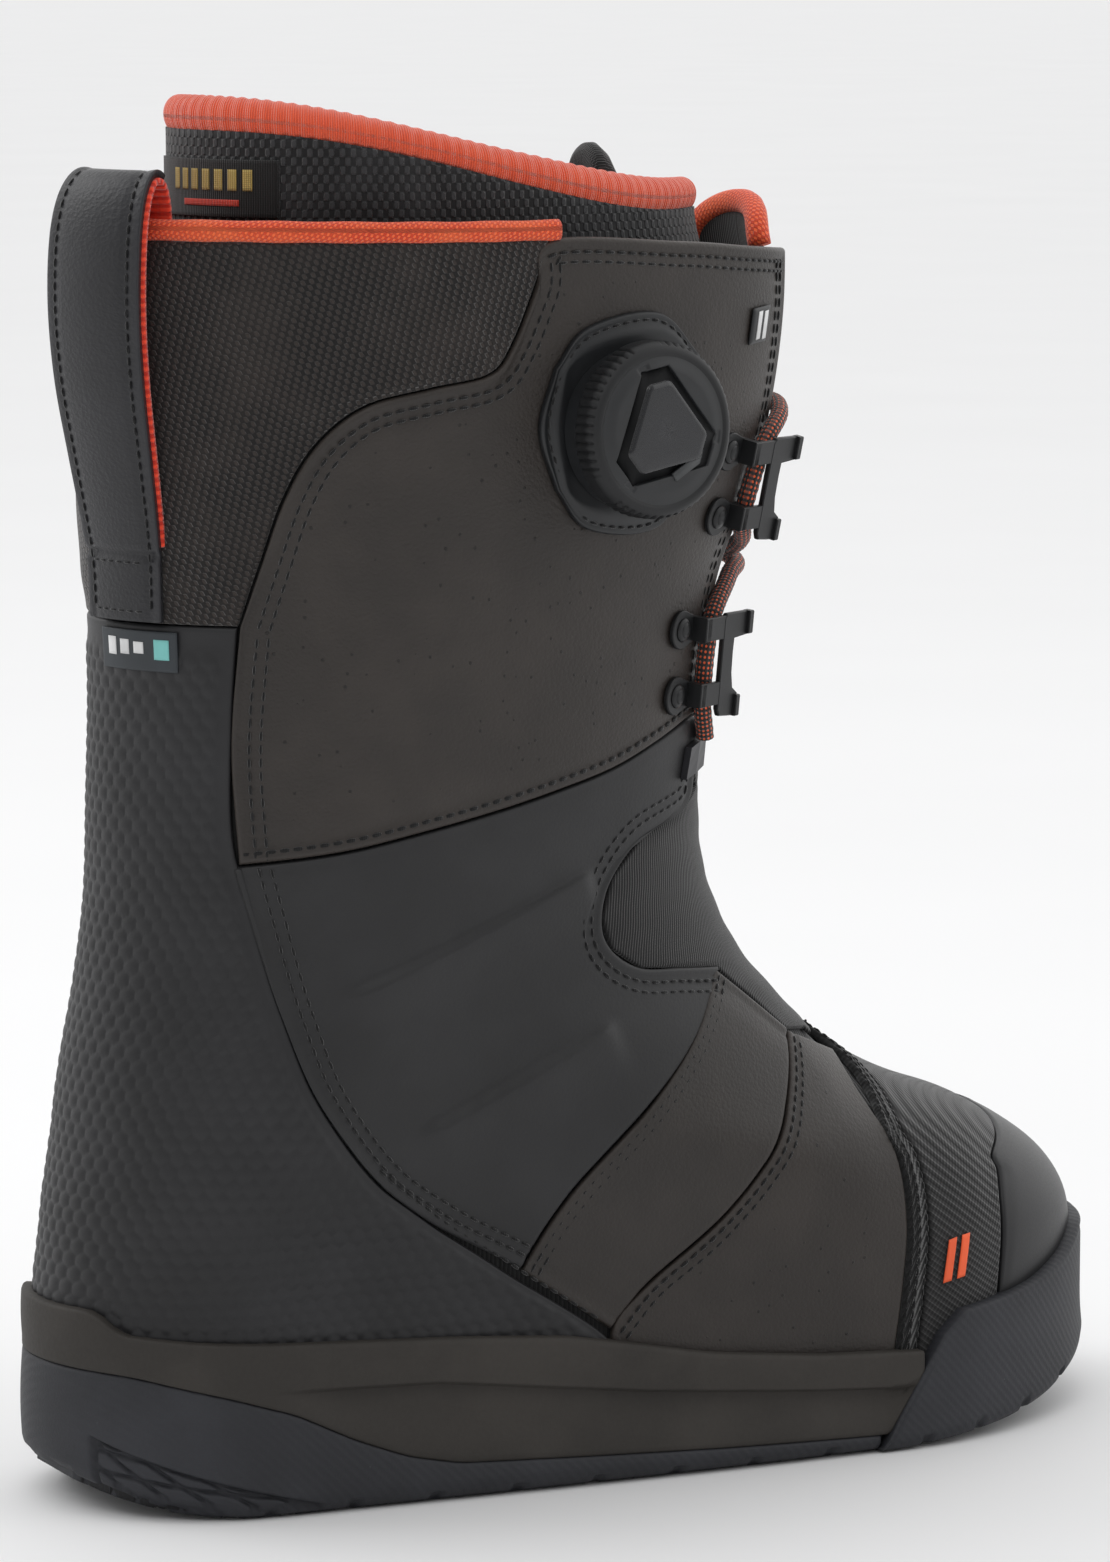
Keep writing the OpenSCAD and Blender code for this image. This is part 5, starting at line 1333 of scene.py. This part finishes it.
def build_dial():
    # Surround: stitched plate that follows the cuff, its rim raised.
    low = [(-37, 254), (-28, 244), (-8, 243), (3, 254)]
    high = [(-38, 284), (-29, 294), (-9, 297), (4, 286)]
    uv = side_uv(coons(low, high, [(-37, 254), (-42, 269), (-38, 284)], [(3, 254), (8, 269), (4, 286)], 1.3))
    panel("dial_surround", uv, DIAL, "dial_flange",
          off_in=PANEL_OUT + 0.2, off_out=PANEL_OUT + 0.2 + FLANGE_T,
          relief=lambda ctx: (0.5 * np.exp(-((ctx["d"] - 5) / 1.6) ** 2)
                              - 0.5 * np.exp(-((ctx["d"] - 2) / 1.0) ** 2)))
    hexagon = low + [(8, 269)] + high[::-1] + [(-42, 269), low[0]]
    line = inset(smooth_line(hexagon, 300), 2.0)
    stitches("dial_stitching", [seam(side_uv(line), PANEL_OUT + 0.2 + FLANGE_T - 0.2)], THREAD, 3.0, 2.2, 0.4)

    def grip(R, Q, Z):
        rim = smooth((R - DIAL_R + 1.2) / 0.8)
        ribs = np.abs(np.sin(Q * 30)) ** 0.7
        gate = smooth((np.abs(np.sin(Q * 1.5 + 0.5)) - 0.25) / 0.1)
        return R - 0.75 * rim * (1 - ribs) * gate, Z
    rim_profile = [(17.9, SKIRT), (DIAL_R - 0.9, SKIRT), (DIAL_R - 0.3, SKIRT + 0.3), (DIAL_R, SKIRT + 1.0),
                   (DIAL_R, SKIRT + 2.2), (DIAL_R, SKIRT + 3.6), (DIAL_R, 10.2), (DIAL_R - 0.3, 11.2),
                   (DIAL_R - 1.0, 12.2), (DIAL_R - 1.9, 12.9), (DIAL_R - 2.6, 13.1), (DIAL_R - 3.0, 13.1),
                   (17.9, 12.6)]
    fine = smooth_line(rim_profile, 60)
    lathe("dial_grip_ring", fine, DIAL_GRIP, "dial_turner", 720, grip, "dial_grip")

    def face_relief(R, Q, Z):
        # Dark channel that follows the cap's outline, and three shallow arrow dents in the rim.
        rim = cap_radius(Q)
        channel = smooth((R - rim * 0.9) / 0.6) * smooth((rim * 1.30 - R) / 0.9)
        dents = smooth((np.cos(3 * Q + 0.4) - 0.94) / 0.04)
        dents = dents * smooth((R - 15.6) / 0.4) * smooth((17.6 - R) / 0.4)
        return R, Z - 1.5 * channel - 0.35 * dents
    face = [(15.0, 12.0), (18.6, 12.0), (19.2, 12.3), (19.2, 12.7)]
    face += [(r, 12.75 + 0.75 * smooth((19.0 - r) / 4.5)) for r in np.linspace(19.0, 2.0, 90)]
    lathe("dial_knob_body", face, DIAL, "dial_turner", 480, face_relief, "dial_knob")

    # Cap: a plain three-sided plate with cut corners and a bevelled rim.
    q = np.linspace(0, 2 * np.pi, 360, endpoint=False)
    radius = cap_radius(q)
    radius = np.mean([np.roll(radius, k) for k in range(-4, 5)], 0)
    rows = []
    for share, z in ((1.0, KNOB_TOP), (1.0, KNOB_TOP + 0.8), (0.975, KNOB_TOP + 1.0), (0.90, KNOB_TOP + 1.15),
                     (0.88, KNOB_TOP + 1.16), (0.6, KNOB_TOP + 1.17), (0.3, KNOB_TOP + 1.18),
                     (0.01, KNOB_TOP + 1.18)):
        r = radius * share
        rows.append(np.stack([r * np.cos(q), r * np.sin(q), np.full(len(q), z)], -1))
    verts = dial_place(np.array(rows).reshape(-1, 3))
    faces = [tuple(f) for f in grid_faces(len(rows), len(q), True, flip=True)]
    faces += [tuple(range(len(q))), tuple(reversed(range((len(rows) - 1) * len(q), len(rows) * len(q))))]
    cap = make_mesh("dial_cap_plate", verts, faces, DIAL_FACE, body="dial_turner")
    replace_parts(cap, "dial_cap")
    bar = [(2.2, -10.6), (3.2, -12.6), (10.6, -8.4), (11.6, -5.0)]
    verts, faces = prism([bar], KNOB_TOP - 0.6, KNOB_TOP + 0.6, 0.3)
    verts = dial_place(np.array(verts, float))
    sliver = make_mesh("dial_cap_sliver", verts, faces, SLIVER, body="dial_turner")
    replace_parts(sliver, "dial_cap")


# ---------------------------------------------------------------- liner
LINER_IN = LINER_OFF - LINER_T
LINER_SPLIT, COLLAR_H, LINER_GAP = 146, 12, 17
RIM_BACK, RIM_FRONT = 350, 329
DRAW_X, DRAW_Y, MIDDLE_X, DRAW_V, DRAW_LEN = 0.21, 0.08, -42, 262, 62
TONGUE_LEAN, TONGUE_LEAN_V, TONGUE_LEAN_LEN = 22, 285, 50


def rim_v(a):
    return lerp(RIM_BACK, RIM_FRONT, smooth((1 - np.cos(np.radians(a))) / 2 * 1.15))


def draw_in(p, v, lean=0.0):
    """The liner draws in towards its middle above the ankle, and its tongue leans back."""
    s = smooth((v - DRAW_V) / DRAW_LEN)
    x = lerp(p[..., 0], MIDDLE_X, DRAW_X * s) - lean * smooth((v - TONGUE_LEAN_V) / TONGUE_LEAN_LEN)
    return np.stack([x, p[..., 1] * (1 - DRAW_Y * s), p[..., 2]], -1)


def build_liner():
    half = float(front_angle(np.array(230.0), LINER_GAP + 6))
    a = np.linspace(-half, half, 300)[None, :]
    t = np.linspace(1, 0, 110)[:, None]
    v = lerp(LINER_SPLIT + 0.2, rim_v(a) - COLLAR_H + 4.0, t)
    A = np.broadcast_to(a, v.shape)
    base, n = skin(A, v), skin_normal(A, v)
    puff = 0.5 * smooth((v - 318) / 8)
    mm = np.stack([arc(A, v), base[..., 2], 0 * v], -1)
    turn = mm * 2 * np.pi / 3.4
    knit = 0.18 * np.sin(turn[..., 0]) * np.sin(turn[..., 1]) * smooth((v - 316) / 3)
    high = draw_in(base + (LINER_OFF + puff * 0.6 + knit)[..., None] * n, v)
    piece = slab_mesh("liner_shaft_knit", high, draw_in(base + LINER_IN * n, v), KNIT, {"mm": mm})
    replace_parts(piece, "liner_shaft")
    # Soft ribbed band that rolls over the rim.
    a = np.linspace(-half, half, 620)
    q = np.linspace(0, 2 * np.pi, 40, endpoint=False)
    A, Q = np.meshgrid(a, q, indexing="ij")
    length = arc(A, np.full(A.shape, 340.0))
    ribs = 0.5 + 0.5 * np.cos(length * 2 * np.pi / 4.6 + 0.5 * np.sin(length * 0.13))
    swell = 1 + 0.10 * np.sin(length * 0.045 + 1)
    tall = 5.6 * swell * (0.93 + 0.07 * ribs)
    wide = (LINER_T / 2 + 1.0) * (0.90 + 0.10 * ribs)
    off = LINER_OFF - LINER_T / 2 + wide * np.cos(Q)
    V = rim_v(A) - 4.6 + tall * np.sin(Q) * np.where(np.sin(Q) > 0, 0.82, 0.95)
    P = draw_in(shell(A, V, off), V)
    n_pts = P.shape[0] * P.shape[1]
    faces = [tuple(f) for f in grid_faces(len(a), len(q), True, flip=True)]
    faces += [tuple(range(len(q))), tuple(reversed(range(n_pts - len(q), n_pts)))]
    mm = np.stack([length, Q * 6, 0 * Q], -1).reshape(-1, 3)
    piece = make_mesh("liner_fleece_collar", P.reshape(-1, 3), faces, FLEECE, {"mm": mm})
    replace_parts(piece, "liner_collar")
    # Liner's own tongue, a padded flap with a bound, arched top.
    j = np.linspace(-1, 1, 60)
    top = 326 + 11 * np.sqrt(np.maximum(0, 1 - j * j))
    v = lerp(LINER_SPLIT + 0.4, top[None, :], np.linspace(1, 0, 90)[:, None])
    half = front_angle(np.full(v.shape, 230.0), LINER_GAP + 5 - 9 * smooth((v - 262) / 26))
    A = lerp(half, 360 - half, (j[None, :] + 1) / 2)
    base, n = skin(A, v), skin_normal(A, v)
    d = np.minimum.reduce(edge_distance(base))
    high = LINER_IN + LINER_T * (0.55 + 0.45 * end_round(d / 6))
    low = LINER_IN + LINER_T * 0.3 * (1 - end_round(d / 6))
    mm = np.stack([arc(A, v), base[..., 2], 0 * v], -1)
    piece = slab_mesh("liner_tongue_pad", draw_in(base + high[..., None] * n, v, TONGUE_LEAN),
                      draw_in(base + low[..., None] * n, v, TONGUE_LEAN), BLACK_BIND, {"mm": mm})
    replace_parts(piece, "liner_tongue")


# ---------------------------------------------------------------- pieces whose CAD shape is shown as it is
def dress(material, *nodes):
    for node in nodes:
        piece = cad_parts[node]
        piece.data.materials.clear()
        piece.data.materials.append(material)


def build_plain():
    dress(LINING, "vamp_lining", "cuff_lining", "liner_foot", "lasting_board")
    dress(LOOP, "lace_anchors")
    dress(plastic("counter_plastic", (0.5, 0.5, 0.47), 0.5), "heel_counter")
    dress(plastic("guide_plastic", (0.03, 0.03, 0.03), 0.5), "cable_guides")
    dress(DIAL, "dial_housing")
    dress(metal("cable_steel", (0.55, 0.55, 0.57), 0.3), "dial_cable", "shank")
    dress(metal("dial_alloy", (0.6, 0.6, 0.62), 0.35), "dial_spool", "dial_stem")
    dress(plastic("dial_works", (0.65, 0.35, 0.06), 0.4), "dial_pawl_disc")
    cloth = ribbed("footbed_cloth", (0.06, 0.06, 0.065), (0.02, 0.02, 0.02), 1.6, 0.2, attribute=None)
    dress(cloth, "footbed")


# ---------------------------------------------------------------- camera, floor and light
VIEW_AZ, VIEW_EL, VIEW_DISTANCE = -27.0, 8.0, 1.600
LOOK_AT = (-0.009, 0.0, 0.173)
PX_PER_MM, FRAME_H, SENSOR = 3.88, 1562, 36.0


def build_camera():
    data = bpy.data.cameras.new("camera")
    data.sensor_fit = "VERTICAL"
    data.sensor_height = SENSOR
    data.lens = SENSOR * PX_PER_MM * VIEW_DISTANCE / MM / FRAME_H
    cam = bpy.data.objects.new("camera", data)
    az, el = math.radians(VIEW_AZ), math.radians(VIEW_EL)
    away = (math.sin(az) * math.cos(el), -math.cos(az) * math.cos(el), math.sin(el))
    cam.location = [c + VIEW_DISTANCE * k for c, k in zip(LOOK_AT, away)]
    cam.rotation_euler = (math.pi / 2 - el, 0, az)
    bpy.context.scene.collection.objects.link(cam)
    bpy.context.scene.camera = cam


def light(name, place, target, size, power, colour=(1, 1, 1)):
    data = bpy.data.lights.new(name, "AREA")
    data.shape, data.size, data.size_y = "RECTANGLE", size[0], size[1]
    data.energy, data.color = power, colour
    lamp = bpy.data.objects.new(name, data)
    lamp.location = place
    lamp.rotation_euler = (Vector(target) - Vector(place)).to_track_quat("-Z", "Y").to_euler()
    bpy.context.scene.collection.objects.link(lamp)


def build_stage():
    floor = Nodes("studio_floor", (0.86, 0.86, 0.865), 0.85, specular=0.1)
    broad = floor.noise(floor.coords(None), 0.004, 2)
    floor.colour(floor.mix(broad, (0.85, 0.85, 0.855), (0.88, 0.88, 0.885)))
    bpy.ops.mesh.primitive_plane_add(size=400, location=(0, 0, -0.0004))
    plane = bpy.context.object
    plane.name = "floor"
    plane.data.materials.append(floor.mat)
    # Sky: pale above and behind the boot, dim in front of it.
    world = bpy.data.worlds.new("studio")
    world.use_nodes = True
    tree = world.node_tree
    coord = tree.nodes.new("ShaderNodeTexCoord")
    dot = tree.nodes.new("ShaderNodeVectorMath")
    dot.operation = "DOT_PRODUCT"
    dot.inputs[1].default_value = (0.42, 0.80, 0.43)
    tree.links.new(coord.outputs["Generated"], dot.inputs[0])
    span = tree.nodes.new("ShaderNodeMapRange")
    for name, value in (("From Min", -0.5), ("From Max", 0.7), ("To Min", 0.40), ("To Max", 1.30)):
        span.inputs[name].default_value = value
    tree.links.new(dot.outputs["Value"], span.inputs["Value"])
    back = tree.nodes["Background"]
    back.inputs["Color"].default_value = (0.985, 0.985, 0.985, 1)
    tree.links.new(span.outputs["Result"], back.inputs["Strength"])
    bpy.context.scene.world = world
    middle = (0, 0, 0.18)
    light("key", (-1.5, -1.7, 2.4), middle, (1.6, 1.6), 12)
    light("side", (1.6, -1.3, 1.2), middle, (0.9, 1.6), 4)
    light("rim", (-1.4, 1.2, 1.6), middle, (1.2, 1.2), 9)
    bpy.context.scene.view_settings.view_transform = "Standard"


build_camera()
build_heel()
build_cuffs()
build_side_panels()
build_gusset()
build_toe()
build_sole()
build_loop()
build_labels()
build_badges()
build_tongue()
build_lace()
build_hooks()
build_dial()
build_liner()
build_plain()
build_stage()
